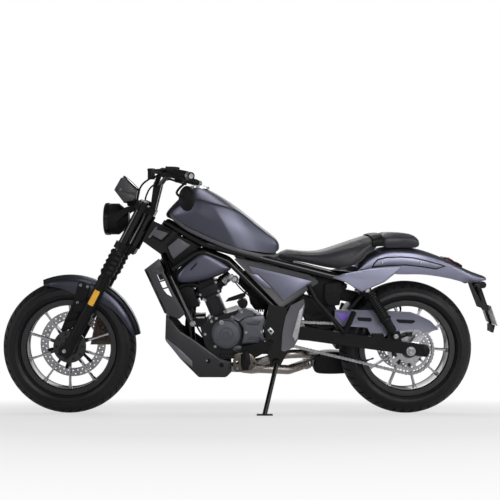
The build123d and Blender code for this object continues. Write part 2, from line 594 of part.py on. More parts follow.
# Radiator between its shrouds, belly pan open on top
core = plate([(376, 680), (408, 693), (514, 470), (484, 456)], -100, 100)
core += pipe([(462, -66, 566), (520, -66, 590), (572, -56, 584), (640, -40, 540)], 13, 40)
core += pipe([(462, 66, 566), (520, 66, 590), (572, 56, 584), (640, 40, 540)], 13, 40)
nodes["radiator"] = [core - bore_place * Pos(0, 0, 100) * Box(124 + 2 * SEAT_GAP, 136 + 2 * SEAT_GAP, 200)]
shroud = plate([(348, 654), (413, 703), (524, 458), (438, 464)], -131, -125)
shroud += plate([(348, 654), (356, 660), (444, 470), (438, 464)], -131, -100 - SEAT_GAP)
shroud += plate([(396, 676), (404, 683), (412, 664), (404, 657)], -131, -100 - SEAT_GAP)
belly_line = [(436, 452), (502, 384), (560, 348), (682, 258), (730, 248), (729, 202), (703, 178), (582, 178),
              (502, 261), (436, 344)]
belly_hollow = [(436, 470), (441, 347), (505, 265), (584, 182), (760, 182), (760, 470)]
belly = plate(belly_line, -COWL_HALF - 4, COWL_HALF + 4) - plate(belly_hollow, -COWL_HALF, COWL_HALF)
nodes["lower_cowl"] = [*mirrored(shroud), belly]

# Tank: side, top and front outlines meet in its facets, with a trim strip along its lower edge
tank_plan = [(425, 60), (520, 112), (640, 150), (720, 142), (830, 112), (945, 84)]
tank_front = [(40, 690), (124, 720), (150, 930), (64, 1022)]
tank = plate([(425, 897), (554, 1017), (581, 1019), (671, 983), (748, 933), (825, 869), (904, 807), (935, 776),
              (942, 748), (905, 722), (774, 743.3), (673, 778), (573, 824), (472, 872)], -160, 160)
tank &= plan(tank_plan, 600, 1100) & front_profile(tank_front, 400, 960)
nodes["fuel_tank"] = [tank]


def tank_skin(grow):
    """The tank's plan and front outlines, grown evenly."""
    return plan([(x, w + grow) for x, w in tank_plan], 600, 1100) & front_profile(
        [(w + grow, z) for w, z in tank_front], 400, 960)


strip = plate([(482, 884), (573, 840), (673, 794), (774, 759), (896, 738), (896, 727), (774, 748),
               (673, 783), (573, 829), (482, 873)], -160, 160)
strip = (strip & tank_skin(4.3)) - tank_skin(SEAT_GAP)
nodes["tank_trim"] = [strip]

# Seats
seat = plate([(930, 706), (948, 740), (1081, 722), (1121, 725), (1281, 779), (1374, 808), (1374, 760),
              (1322, 728), (1268, 662), (1181, 656), (1060, 680)], -160, 160)
seat &= plan([(910, 76), (1080, 112), (1180, 142), (1300, 150), (1380, 132)], 600, 900)
seat += plate([(940, 699.7), (1181, 638.4), (1230, 648), (1240, 690), (1000, 720)], -104, 104) & plan(
    [(910, 70), (1080, 106), (1400, 106)], 600, 900)
nodes["seat"] = [seat]
pad = plate([(1380, 810), (1534, 806), (1567, 768), (1562, 740), (1380, 750)], -140, 140)
pad &= plan([(1376, 130), (1500, 112), (1570, 86)], 700, 900)

# Tail: a fender open below, with lamp, plate holder and strut covers
tail_side = [(1285, 650), (1328, 708), (1378, 742), (1420, 748), (1575, 738), (1692, 693), (1796, 639), (1860, 617),
             (1855, 605), (1750, 592), (1650, 620), (1542, 637), (1435, 626), (1400, 646)]
tail_plan = [(1280, 100), (1560, 104), (1700, 88), (1870, 62)]
hollow_side = [(1280, 640), (1330, 702), (1380, 737), (1420, 743), (1574, 733), (1690, 688), (1794, 634),
               (1856, 611), (1856, 500), (1280, 500)]
tail = plate(tail_side, -120, 120) & plan(tail_plan, 500, 800)
tail -= plate(hollow_side, -120, 120) & plan([(x, w - 4) for x, w in tail_plan], 400, 800)
battery_box = plate([(1010, 681.4), (1181, 637.9), (1228, 600), (1222, 556), (1190, 512), (1130, 498),
                     (1060, 560)], -84, 84)
battery_box += plate([(1180, 515), (1222, 560), (1296, 545), (1266, 500)], -30, 30)
guard_in, guard_out = REAR_TYRE_R + 20, REAR_TYRE_R + 24
wheel_guard = on_wheel(WHEELBASE, REAR_AXLE_Z) * (Cylinder(guard_out, 144) - Cylinder(guard_in, 150))
wheel_guard &= plate([(WHEELBASE, REAR_AXLE_Z), (1340, 640), (1100, 560), (1120, 380)], -80, 80)
nodes["rear_fender"] = [tail, battery_box + wheel_guard]
pad_base = [(1300, 748.3), (1420, 748.3), (1575, 738.3), (1600, 728), (1600, 690), (1300, 690)]
nodes["pillion_pad"] = [pad - plate(pad_base, -160, 160)]
nodes["tail_light"] = [plate([(1694, 692.4), (1751, 662.8), (1753, 669), (1697, 698)], -45, 45)]
holder = plate([(1790, 660), (1822, 640), (1880, 470), (1868, 462), (1800, 590)], -30, 30)
holder -= plate([(1280, 1000), (1280, 733), (1574, 733), (1690, 688), (1794, 634), (1856, 611), (1870, 1000)],
                -120, 120)
for side in (-1, 1):
    holder += rod((1816, side * 20, 584), (1816, side * 116, 588), 6)
    holder += rod((1816, side * 104, 588), (1816, side * 146, 590), 15)
holder += plate([(1822, 570), (1860, 470), (1864, 472), (1826, 572)], -80, 80)
holder += plate([(1866, 480), (1874, 480), (1902, 398), (1894, 396)], -8, 8)
holder += plate([(1893, 366), (1900, 366), (1908, 398), (1893, 400)], -32, 32)
nodes["plate_holder"] = [holder]
strut_cover = plate([(1169, 640), (1479, 674), (1409, 607), (1287, 548), (1200, 604)], -arm_out - SHOCK_EYE_T - 8,
                    -arm_out - SHOCK_EYE_T - 0.7)

# Side panels
triangle = plate([(740, 712), (1068, 630), (958, 492.3), (930, 497.8)], -128, -120)
pivot_cover = plate([(975, 512), (1047, 520), (1020, 330), (978, 303), (940, 300), (944, 380), (960, 440)],
                    -plate_out - SEAT_GAP - 12, -plate_out - SEAT_GAP)
engine_line = [(492, 640), (588, 714), (640, 706), (722, 640), (690, 604), (600, 600), (524, 610)]
vent_line = [(366, 800), (392, 846), (456, 812), (420, 776)]
shield_line = [(440, 762), (482, 804), (566, 766), (540, 716), (482, 692)]
engine_panel = plate(engine_line, -TUBE_Y - 12, -TUBE_Y + 12)
engine_panel += plate([(500, 640), (560, 690), (560, 660), (520, 622)], -TUBE_Y + 10, -GUSSET_HALF - SEAT_GAP)
vent = plate(vent_line, -76, -GUSSET_HALF - SEAT_GAP) - upper
shield = plate(shield_line, -86, -GUSSET_HALF - SEAT_GAP) - upper - down
nodes["side_panels"] = [*mirrored(triangle), *mirrored(pivot_cover), *mirrored(strut_cover)]
for panel in (engine_panel - down - branch, vent, shield):
    nodes["side_panels"] += mirrored(panel)
airbox_y = TUBE_Y - 12 - SEAT_GAP
airbox = plate([(566, 696), (592, 704), (636, 698), (706, 642), (566, 642)], -airbox_y, airbox_y)
nodes["side_panels"].append(airbox)

# Exhaust from the front of the head, under the cases, to a short silencer on the right
exhaust_end = Vector(1104, 124, 206)
exhaust_run = [(600, 0, 560), (552, 0, 520), (540, 0, 400), (545, 0, 300), (612, 0, 208), (780, 0, 204),
               (990, 60, 182), tuple(exhaust_end)]
header = pipe(exhaust_run, PIPE_R, 36)
header -= bore_place * Pos(0, 0, 126) * Box(124 + 2 * SEAT_GAP, 136 + 2 * SEAT_GAP, 70)
silencer = plate([(1105, 160), (1130, 150), (1300, 152), (1322, 190), (1300, 256), (1150, 262), (1105, 240)],
                 SILENCER_IN_Y, SILENCER_OUT_Y)
nodes["exhaust_pipe"] = [header - silencer]
nodes["muffler"] = [silencer]

guard_line = [(1188, 470), (1480, 455), (1560, 442), (1610, 416), (1640, 386), (1580, 380), (1560, 400),
              (1480, 424), (1392, 430), (1386, 366), (1348, 366), (1344, 436), (1188, 442)]
nodes["chain_guard"] = [plate(guard_line, -arm_in + 0.5, -arm_in + 3)]

peg = rod((790, -plate_out - 10, 290), (790, -285, 278), 14)
bracket = plate([(770, 320), (890, 345), (896, 310), (810, 262), (765, 270)], -plate_out - 14, -plate_out - SEAT_GAP)
pedal = rod((806, -plate_out - 12, 268), (684, -plate_out - 22, 286), 6)
pedal += across(8, 684, 286, -plate_out - 62, -plate_out - 14)
pedal += rod((858, -plate_out - 10, 300), (858, -plate_out - 10, 344), 5)
pedal += across(8, 858, 344, -plate_out - 16, -plate_out - 4)
hanger = pipe([(1064, -TUBE_Y - 16, 588), (1096, -TUBE_Y - 20, 522), (1221, -TUBE_Y - 22, 380)], 10, 60)
hanger -= stay + upper
hanger += rod((1221, -TUBE_Y - 22, 380), (1256, -TUBE_Y - 46, 474), 9)
nodes["footrests"] = [*mirrored(peg + bracket + pedal), *mirrored(hanger)]

nodes["rear_brake"] = [plate([(1400, 330), (1470, 330), (1470, 400), (1420, 410)], 62, arm_in - SEAT_GAP)
                       - across(REAR_DISC_R + 6, WHEELBASE, REAR_AXLE_Z, REAR_DISC_Y - 9, REAR_DISC_Y + 9)]

# Side stand, its foot flat on the floor when the machine leans on it
foot_place = Rot(-LEAN, 0, 0) * Pos(FOOT_X, FOOT_Y, FOOT_T / 2)
foot_at = foot_place.position
stand = stand_place * Cylinder(17, STAND_EYE_T)
stand += rod((STAND_X, STAND_Y, STAND_Z), tuple(foot_at), 10)
stand += foot_place * Box(66, 44, FOOT_T)
stand -= foot_place * Pos(0, 0, -FOOT_T / 2 - 10) * Box(80, 80, 20)
stand -= stand_place * Cylinder(STAND_PIN_R + RUNNING_FIT, 60)
stand -= stand_place * Pos(0, 0, -STAND_EYE_T / 2 - 15) * Cylinder(40, 30)
nodes["side_stand"] = [stand]

# Lean on the stand and move to the origin, in the middle of the outer box at floor level
lean = Rot(LEAN, 0, 0)
placed = {}
for name, solids in nodes.items():
    loose = []
    for piece in solids:
        loose += [lean * solid for solid in piece.solids()]
    placed[name] = loose
box = Compound(children=[solid for solids in placed.values() for solid in solids]).bounding_box()
shift = Pos(-(box.min.X + box.max.X) / 2, -(box.min.Y + box.max.Y) / 2, -box.min.Z)
os.makedirs("parts", exist_ok=True)
for name, solids in placed.items():
    export_step(Compound(children=[shift * solid for solid in solids]), f"parts/{name}.step")
print("box", round(box.size.X, 1), round(box.size.Y, 1), round(box.size.Z, 1))
print("shift", *(round(v, 4) for v in tuple(shift.position)))
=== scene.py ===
from math import asin, atan2, cos, hypot, pi, radians, sin, tan

import bmesh
import bpy
from mathutils import Matrix, Vector
from mathutils.bvhtree import BVHTree


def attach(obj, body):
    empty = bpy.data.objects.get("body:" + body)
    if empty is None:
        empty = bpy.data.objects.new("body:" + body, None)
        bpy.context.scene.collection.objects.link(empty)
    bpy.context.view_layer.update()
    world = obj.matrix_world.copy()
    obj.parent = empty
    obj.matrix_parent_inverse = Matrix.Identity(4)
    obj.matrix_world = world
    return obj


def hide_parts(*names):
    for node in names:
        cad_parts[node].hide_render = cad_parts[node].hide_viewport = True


bl_info = {
    "name": "Parked Motorcycle",
    "version": (1, 0, 0),
    "blender": (4, 5, 0),
    "location": "View3D > Sidebar > Motorcycle",
    "description": "Finishes a cruiser motorcycle: bodywork, seats, tyres, drive chain, engine and cockpit",
    "category": "Object",
}

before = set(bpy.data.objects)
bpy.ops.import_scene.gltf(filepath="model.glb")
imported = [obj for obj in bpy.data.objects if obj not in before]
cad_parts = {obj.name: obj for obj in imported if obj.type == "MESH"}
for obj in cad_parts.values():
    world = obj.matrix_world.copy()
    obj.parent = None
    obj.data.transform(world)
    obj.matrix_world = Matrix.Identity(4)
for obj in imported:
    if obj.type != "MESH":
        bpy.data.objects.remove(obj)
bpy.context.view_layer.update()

# The machine is modelled upright, in metres: X back from the front axle, Y to its right, Z up.
# park() then leans it on its stand, as the CAD nodes are.
LEAN = radians(12.0)
SHIFT = (-0.8045, 0.1995952, 0.0)
UPRIGHT_TO_PARKED = Matrix.Translation(SHIFT) @ Matrix.Rotation(LEAN, 4, "X")

RAKE = radians(27.4)
WHEELBASE = 1.510
FRONT_AXLE = Vector((0.0, 0.0, 0.29 + 0.01034))
REAR_AXLE = Vector((WHEELBASE, 0.0, 0.29 + 0.00856))
LEG_Y = 0.102
CHAIN_Y = -0.086
TO_LEFT = (0, -1, 0)
# turns what is spun about Z to lie across the machine
ACROSS = Matrix.Rotation(radians(90), 4, "X")
SHEET = 0.003


# ---------------------------------------------------------------- colours and sizes
def tint(name, description, default):
    return bpy.props.FloatVectorProperty(
        name=name, description=description, subtype="COLOR", size=3, min=0.0, max=1.0, default=default)


def length(name, description, default):
    return bpy.props.FloatProperty(name=name, description=description, unit="LENGTH", min=0.0, default=default)


class MotorcycleColours(bpy.types.PropertyGroup):
    """Colours of the machine's finishes."""
    # The rear fender and side covers wear this paint made lighter, which is painted light, and the front fender
    # wears it made darker, which is painted shade.
    paint: tint("Body paint", "Matt metallic grey of the tank, fenders and side covers", (0.105, 0.107, 0.142))
    shroud: tint("Shroud grey", "Moulded grey of the radiator shrouds and belly pan", (0.042, 0.042, 0.047))
    gloss_black: tint("Frame black", "Gloss black of the frame tubes", (0.004, 0.004, 0.0046))
    cast_black: tint("Casting black", "Satin black of engine cases, fork lowers and clamps",
        (0.009, 0.009, 0.010))
    plastic: tint("Black plastic", "Unpainted moulded plastic", (0.008, 0.008, 0.0088))
    vinyl: tint("Seat vinyl", "Cover of the seat and pillion pad", (0.016, 0.016, 0.021))
    rubber: tint("Tyre rubber", "Tyres, gaiters and grips", (0.011, 0.011, 0.0125))
    steel: tint("Bare steel", "Chain, discs and axles", (0.52, 0.52, 0.54))
    alloy: tint("Machined alloy", "Bright faces of spokes, clamps and caps", (0.62, 0.62, 0.65))
    exhaust: tint("Exhaust steel", "Heat tinted exhaust pipe", (0.46, 0.415, 0.385))
    amber: tint("Amber lens", "Front side reflectors", (1.0, 0.47, 0.02))
    red: tint("Red lens", "Tail lamp and rear reflector", (0.42, 0.012, 0.012))
    floor: tint("Studio floor", "Pale floor and backdrop", (0.88, 0.88, 0.885))


class MotorcycleSizes(bpy.types.PropertyGroup):
    """Sizes of the details that are modelled here."""
    tread_depth: length("Tread depth", "Depth of the grooves in both tyres", 0.0045)
    link_pitch: length("Chain pitch", "Distance between two chain rollers", 0.015875)
    spring_wire: length("Spring wire", "Wire diameter of the rear springs", 0.0085)
    seam_width: length("Seam width", "Width of the sewn piping on the seats", 0.0035)
    cable: length("Cable diameter", "Outer diameter of the control cables", 0.0075)
    seat_swell: length("Seat swell", "Furthest that the seat's cover may swell", 0.007)


def colours():
    return bpy.context.scene.motorcycle_colours


def sizes():
    return bpy.context.scene.motorcycle_sizes


# ---------------------------------------------------------------- modelling helpers
def deselect():
    if bpy.context.object and bpy.context.object.mode != "OBJECT":
        leave_edit()
    bpy.ops.object.select_all(action="DESELECT")


def pick(*pieces):
    deselect()
    for piece in pieces:
        piece.select_set(True)
    bpy.context.view_layer.objects.active = pieces[0]


def edit(piece, mode="VERT"):
    pick(piece)
    bpy.ops.object.mode_set(mode="EDIT")
    bpy.ops.mesh.select_mode(type=mode)
    bpy.ops.mesh.select_all(action="SELECT")


def choose(piece, kind, test):
    """In edit mode, selects the faces, edges or vertices that pass a test on their middle and element."""
    bpy.ops.mesh.select_mode(type=kind)
    bpy.ops.mesh.select_all(action="DESELECT")
    mesh = bmesh.from_edit_mesh(piece.data)
    elements = {"VERT": mesh.verts, "EDGE": mesh.edges, "FACE": mesh.faces}[kind]
    for element in elements:
        if kind == "VERT":
            middle = element.co
        elif kind == "EDGE":
            middle = (element.verts[0].co + element.verts[1].co) / 2
        else:
            middle = element.calc_center_median()
        if test(middle, element):
            element.select = True
    mesh.select_flush_mode()
    bmesh.update_edit_mesh(piece.data)


def apply(piece, kind, **settings):
    """Adds one modifier with its settings and applies it."""
    pick(piece)
    modifier = piece.modifiers.new(kind.title(), kind)
    for key, value in settings.items():
        setattr(modifier, key, value)
    bpy.ops.object.modifier_apply(modifier=modifier.name)


def bevel(piece, width, segments=2, angle=35.0):
    apply(piece, "BEVEL", width=width, segments=segments, limit_method="ANGLE", angle_limit=radians(angle))


def subdivide(piece, levels=2):
    apply(piece, "SUBSURF", levels=levels, render_levels=levels)


def tidy_mesh(piece, merge=0.00002):
    """Merges doubles and turns every face outwards."""
    edit(piece)
    bpy.ops.mesh.remove_doubles(threshold=merge)
    bpy.ops.mesh.normals_make_consistent(inside=False)
    leave_edit()


def leave_edit():
    bpy.ops.object.mode_set(mode="OBJECT")


def flip(piece):
    edit(piece)
    bpy.ops.mesh.flip_normals()
    leave_edit()


def face_up(shell):
    """Turns the faces of an open shell one way, which is up for most of them."""
    edit(shell)
    bpy.ops.mesh.normals_make_consistent(inside=False)
    leave_edit()
    if sum(f.normal.z * f.area for f in shell.data.polygons) < 0:
        flip(shell)


def smooth(piece, angle=32.0):
    pick(piece)
    bpy.ops.object.shade_smooth_by_angle(angle=radians(angle))


def loft(name, rings):
    """Closed skin through rings of equal counts: a filled circle, extruded ring by ring."""
    deselect()
    bpy.ops.mesh.primitive_circle_add(vertices=len(rings[0]), radius=1.0, fill_type="NGON")
    piece = bpy.context.object
    piece.name = piece.data.name = name
    for vertex, point in zip(piece.data.vertices, rings[0]):
        vertex.co = point
    edit(piece)
    before = [Vector(point) for point in rings[0]]
    for ring in rings[1:]:
        bpy.ops.mesh.extrude_region_move()
        mesh = bmesh.from_edit_mesh(piece.data)
        free = dict(enumerate(before))
        for vertex in [v for v in mesh.verts if v.select]:
            index = min(free, key=lambda i: (free[i] - vertex.co).length_squared)
            free.pop(index)
            vertex.co = ring[index]
        bmesh.update_edit_mesh(piece.data)
        before = [Vector(point) for point in ring]
    leave_edit()
    tidy_mesh(piece, 0.000001)
    return piece


def drape(name, rows):
    """A grid whose rows of points are laid at their places."""
    deselect()
    across, along = len(rows[0]), len(rows)
    bpy.ops.mesh.primitive_grid_add(x_subdivisions=across - 1, y_subdivisions=along - 1, size=2.0)
    piece = bpy.context.object
    piece.name = piece.data.name = name
    for vertex in piece.data.vertices:
        i = round((vertex.co.x + 1) / 2 * (across - 1))
        j = round((vertex.co.y + 1) / 2 * (along - 1))
        vertex.co = rows[j][i]
    return piece


def mm(*values):
    """Point given in millimetres."""
    return Vector(values) / 1000.0


def sections(name, stations):
    """Closed skin through cross sections, given as half sections in millimetres from top to bottom."""
    rings = []
    for half in stations:
        right = [mm(*point) for point in half]
        rings.append(right + [Vector((p.x, -p.y, p.z)) for p in reversed(right[1:-1])])
    return loft(name, rings)


def crease(piece, amount, points):
    """Sharpens the edges whose two ends are both among the points."""
    keys = {tuple(round(c, 5) for c in point) for point in points}
    edit(piece, "EDGE")
    choose(piece, "EDGE", lambda m, e: all(tuple(round(c, 5) for c in v.co) in keys for v in e.verts))
    bpy.ops.transform.edge_crease(value=amount)
    leave_edit()


def follow(piece, offset):
    """Moves each point sideways by an offset that depends on where it lies along the machine."""
    for vertex in piece.data.vertices:
        vertex.co.y += offset(vertex.co.x)
    return piece


def at(place, points):
    """The value at a place along a line of (place, value) pairs."""
    for (a, low), (b, high) in zip(points, points[1:]):
        if place <= b:
            return low + (high - low) * max(0.0, (place - a) / (b - a))
    return points[-1][1]


def slab(name, outline, y0, y1, rounding=0.0, segments=2):
    """Side outline of (x, z) points in millimetres, extruded from y0 to y1 and bevelled."""
    ring = [mm(x, y0, z) for x, z in outline]
    piece = loft(name, [ring, [mm(x, y1, z) for x, z in outline]])
    rounding = rounding / 1000.0
    if rounding:
        bevel(piece, rounding, segments, 25.0)
    return piece


def cut(piece, cutters):
    """The piece with the cutters taken out of it."""
    for cutter in cutters:
        apply(piece, "BOOLEAN", object=cutter, operation="DIFFERENCE", solver="EXACT")
        bpy.data.objects.remove(cutter)
    return piece


def spun(name, profile, steps=32, place=Matrix(), closed=False):
    """Profile of (radius, height) points in metres, spun about Z, then set at its place."""
    deselect()
    bpy.ops.mesh.primitive_circle_add(vertices=len(profile), radius=1.0)
    piece = bpy.context.object
    piece.name = piece.data.name = name
    for vertex, (r, h) in zip(piece.data.vertices, profile):
        vertex.co = (r, 0.0, h)
    edit(piece)
    if not closed:
        last = len(profile) - 1
        choose(piece, "EDGE", lambda m, e: {e.verts[0].index, e.verts[1].index} == {0, last})
        bpy.ops.mesh.delete(type="EDGE")
        bpy.ops.mesh.select_mode(type="VERT")
        bpy.ops.mesh.select_all(action="SELECT")
    bpy.ops.mesh.spin(steps=steps, angle=2 * pi, center=(0, 0, 0), axis=(0, 0, 1))
    leave_edit()
    tidy_mesh(piece)
    piece.data.transform(place)
    return piece


def turned(name, profile, steps=32, place=Matrix(), closed=False):
    """Spun piece whose profile is given in millimetres."""
    return spun(name, [(r / 1000, h / 1000) for r, h in profile], steps, place, closed)


def both_ways(half):
    """Profile completed by its mirror image."""
    return (*half, *((r, -h) for r, h in reversed(half)))


def rod(name, r, half, steps, place):
    """Plain cylinder about the middle of its place, measured in millimetres."""
    return turned(name, ((0, -half), (r, -half), (r, half), (0, half)), steps, place)


def tube(name, points, diameter, sides=3, order=3, steps=8):
    """Round cable along a smooth line through its control points."""
    deselect()
    curve = bpy.data.curves.new(name, "CURVE")
    curve.dimensions = "3D"
    curve.bevel_depth = diameter / 2
    curve.bevel_resolution = sides
    curve.resolution_u = steps
    curve.use_fill_caps = True
    line = curve.splines.new("NURBS")
    line.points.add(len(points) - 1)
    for knot, point in zip(line.points, points):
        knot.co = (*point, 1.0)
    line.order_u = order
    line.use_endpoint_u = True
    piece = bpy.data.objects.new(name, curve)
    bpy.context.scene.collection.objects.link(piece)
    pick(piece)
    bpy.ops.object.convert(target="MESH")
    return bpy.context.object


def aim(start, end):
    """Matrix with its origin at start and its Z axis towards end."""
    start, end = Vector(start), Vector(end)
    turn = (end - start).to_track_quat("Z", "Y").to_matrix().to_4x4()
    return Matrix.Translation(start) @ turn


def leftward(x, y, z):
    """Place at a point given in millimetres, facing out of the left side."""
    return aim(mm(x, y, z), mm(x, y - 10, z))


def join(name, pieces):
    pick(*pieces)
    if len(pieces) > 1:
        bpy.ops.object.join()
    piece = bpy.context.object
    piece.name = piece.data.name = name
    return piece


def copy_to(piece, matrix):
    twin = piece.copy()
    twin.data = piece.data.copy()
    twin.data.transform(matrix)
    bpy.context.scene.collection.objects.link(twin)
    return twin


def bolt(name, spot, axis, across=0.012, tall=0.35, sides=6):
    """Bolt head seen from outside: chamfered hexagon or round cap with a socket, on a washer."""
    r = across / 2
    head = spun(name, ((0.0, 0.1 * r), (0.42 * r, 0.1 * r), (0.46 * r, tall * across),
        (0.84 * r, tall * across), (r, 0.75 * tall * across), (r, 0.08 * across), (1.3 * r, 0.08 * across),
        (1.3 * r, -0.1 * across)), sides if sides > 6 else 6)
    head.data.transform(aim(spot, Vector(spot) + Vector(axis)))
    return head


def bolts(name, spots, axis=TO_LEFT, across=0.012, tall=0.35, sides=6):
    """Bolts that share a size and a direction, at places given in millimetres."""
    return join(name, [bolt(name, mm(*spot), axis, across, tall, sides) for spot in spots])


def both_sides(piece):
    """The piece joined with its mirror image on the other side."""
    twin = copy_to(piece, Matrix.Scale(-1, 4, (0, 1, 0)))
    flip(twin)
    return join(piece.name, [piece, twin])


def wear(piece, finish):
    """Gives a piece one finish in place of what it has."""
    piece.data.materials.clear()
    piece.data.materials.append(finish_named(finish))


def park(piece, finish, body="chassis", replaces=(), angle=32.0):
    """Leans a modelled piece on the stand, gives it its finish and ties it to its CAD body."""
    smooth(piece, angle)
    piece.data.transform(UPRIGHT_TO_PARKED)
    wear(piece, finish)
    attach(piece, body)
    if replaces:
        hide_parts(*replaces)


def on_leg(z, y=0.0, back=0.0):
    """Point on the fork legs' centre line at height z, moved back square to the legs."""
    x = 0.008 / cos(RAKE) + (z - FRONT_AXLE.z) * tan(RAKE)
    return Vector((x + back * cos(RAKE), y, z - back * sin(RAKE)))


LEG_UP = Vector((sin(RAKE), 0.0, cos(RAKE)))


# ---------------------------------------------------------------- shader groups
def node(tree, kind, **settings):
    new = tree.nodes.new(kind)
    for key, value in settings.items():
        setattr(new, key, value)
    return new


def feed(tree, socket, value):
    """Links an output to a socket, or sets the socket's own value."""
    if hasattr(value, "is_linked"):
        tree.links.new(value, socket)
    else:
        socket.default_value = value


def math(tree, operation, a, b=None, c=None, clamp=False):
    new = node(tree, "ShaderNodeMath", operation=operation, use_clamp=clamp)
    for index, value in enumerate((a, b, c)):
        if value is not None:
            feed(tree, new.inputs[index], value)
    return new.outputs[0]


def noise_tone(tree, vector, scale, detail=3.0, rough=0.55):
    new = node(tree, "ShaderNodeTexNoise")
    for key, value in (("Vector", vector), ("Scale", scale), ("Detail", detail), ("Roughness", rough)):
        feed(tree, new.inputs[key], value)
    return new.outputs["Fac"]


def wave_tone(tree, vector, direction, scale):
    new = node(tree, "ShaderNodeTexWave", wave_type="BANDS", bands_direction=direction)
    feed(tree, new.inputs["Vector"], vector)
    feed(tree, new.inputs["Scale"], scale)
    return new.outputs["Fac"]


def map_range(tree, value, low, high, to_low=0.0, to_high=1.0, **settings):
    """A value carried over from one range to another."""
    new = node(tree, "ShaderNodeMapRange", **settings)
    for key, end in (("Value", value), ("From Min", low), ("From Max", high), ("To Min", to_low),
            ("To Max", to_high)):
        feed(tree, new.inputs[key], end)
    return new.outputs["Result"]


def shader_group(name, inputs, outputs):
    """A group with its sockets, and the nodes that they come in and go out by."""
    group = bpy.data.node_groups.new(name, "ShaderNodeTree")
    group.interface.new_socket("Vector", in_out="INPUT", socket_type="NodeSocketVector")
    for label, default in inputs.items():
        kind = "NodeSocketFloat" if isinstance(default, float) else "NodeSocketVector"
        group.interface.new_socket(label, in_out="INPUT", socket_type=kind).default_value = default
    for label in outputs:
        group.interface.new_socket(label, in_out="OUTPUT", socket_type="NodeSocketFloat")
    return group, group.nodes.new("NodeGroupInput").outputs, group.nodes.new("NodeGroupOutput").inputs


def build_fine_grain(name):
    """Even fine grain, as in sprayed paint, castings and moulded plastic."""
    group, given, out = shader_group(
        name, {"Grain scale": 900.0, "Cloud scale": 9.0, "Rough low": 0.35, "Rough high": 0.5},
        ("Height", "Roughness", "Cloud"))
    cloud = noise_tone(group, given["Vector"], given["Cloud scale"], 5.0, 0.62)
    feed(group, out["Height"], noise_tone(group, given["Vector"], given["Grain scale"], 2.0, 0.5))
    feed(group, out["Roughness"], map_range(group, cloud, 0.3, 0.7, given["Rough low"], given["Rough high"]))
    feed(group, out["Cloud"], cloud)
    return group


def build_settled_dust(name):
    """Thin dust that lies on faces that look up, broken up by noise."""
    group, given, out = shader_group(name, {"Amount": 0.12}, ("Mask",))
    parts = node(group, "ShaderNodeSeparateXYZ")
    feed(group, parts.inputs[0], node(group, "ShaderNodeNewGeometry").outputs["Normal"])
    up = math(group, "MULTIPLY", math(group, "MAXIMUM", parts.outputs["Z"], 0.0), parts.outputs["Z"])
    patches = noise_tone(group, given["Vector"], 26.0, 6.0, 0.7)
    lying = math(group, "MULTIPLY", up, patches)
    feed(group, out["Mask"], math(group, "MULTIPLY", lying, given["Amount"], clamp=True))
    return group


def build_brushed(name):
    """Fine lines along one direction, from noise that is stretched along it."""
    group, given, out = shader_group(name, {"Scale": 240.0, "Stretch": (1.0, 1.0, 0.02)},
        ("Height", "Roughness"))
    stretch = node(group, "ShaderNodeVectorMath", operation="MULTIPLY")
    feed(group, stretch.inputs[0], given["Vector"])
    feed(group, stretch.inputs[1], given["Stretch"])
    lines = noise_tone(group, stretch.outputs[0], given["Scale"], 4.0, 0.6)
    feed(group, out["Height"], lines)
    feed(group, out["Roughness"], math(group, "MULTIPLY_ADD", lines, 0.3, 0.14))
    return group


def build_hide_grain(name):
    """Pebbled grain of seat vinyl, with soft larger creases."""
    group, given, out = shader_group(name, {"Scale": 420.0}, ("Height", "Tone", "Roughness"))
    cells = node(group, "ShaderNodeTexVoronoi", feature="SMOOTH_F1")
    for key, value in (("Smoothness", 0.6), ("Vector", given["Vector"]), ("Scale", given["Scale"])):
        feed(group, cells.inputs[key], value)
    creases = noise_tone(group, given["Vector"], 34.0, 6.0, 0.6)
    feed(group, out["Height"], math(group, "MULTIPLY_ADD", creases, 0.9, cells.outputs["Distance"]))
    feed(group, out["Tone"], creases)
    feed(group, out["Roughness"], math(group, "MULTIPLY_ADD", creases, 0.22, 0.34))
    return group


GROUP_BUILDERS = {
    "Fine grain": build_fine_grain, "Settled dust": build_settled_dust,
    "Brushed lines": build_brushed, "Hide grain": build_hide_grain,
}


def place_group(tree, name, vector, **values):
    """One of the shared groups, built on first use, with its values set."""
    new = tree.nodes.new("ShaderNodeGroup")
    new.node_tree = bpy.data.node_groups.get(name) or GROUP_BUILDERS[name](name)
    feed(tree, new.inputs["Vector"], vector)
    for key, value in values.items():
        new.inputs[key.replace("_", " ")].default_value = value
    return new.outputs


def finish_named(name):
    """The material of a finish; the ending keeps its name apart from the CAD nodes' own materials."""
    return bpy.data.materials[name + "_finish"]


def new_finish(name, **sockets):
    """A material with its Principled shader, object coordinates, and constants on its sockets."""
    material = bpy.data.materials.new(name + "_finish")
    material.use_nodes = True
    tree = material.node_tree
    shader = tree.nodes["Principled BSDF"].inputs
    for key, value in sockets.items():
        shader[key.replace("_", " ")].default_value = value
    return tree, shader, tree.nodes.new("ShaderNodeTexCoord").outputs["Object"]


def blend_colour(tree, low, high, mask):
    """Mix of two colours by a mask."""
    mix = node(tree, "ShaderNodeMix", data_type="RGBA")
    for socket, value in ((mix.inputs[6], low), (mix.inputs[7], high)):
        feed(tree, socket, value if hasattr(value, "is_linked") else (*tuple(value)[:3], 1.0))
    feed(tree, mix.inputs[0], mask)
    return mix.outputs[2]


def dusted(tree, place, tone, amount, dust=(0.32, 0.31, 0.30)):
    """A tone under a little settled dust."""
    return blend_colour(tree, tone, dust, place_group(tree, "Settled dust", place, Amount=amount)["Mask"])


def relief(tree, shader, height, strength, distance):
    bump = node(tree, "ShaderNodeBump")
    for key, value in (("Strength", strength), ("Distance", distance), ("Height", height)):
        feed(tree, bump.inputs[key], value)
    feed(tree, shader["Normal"], bump.outputs[0])


def scaled(colour, factor):
    return tuple(min(1.0, c * factor) for c in tuple(colour)[:3])


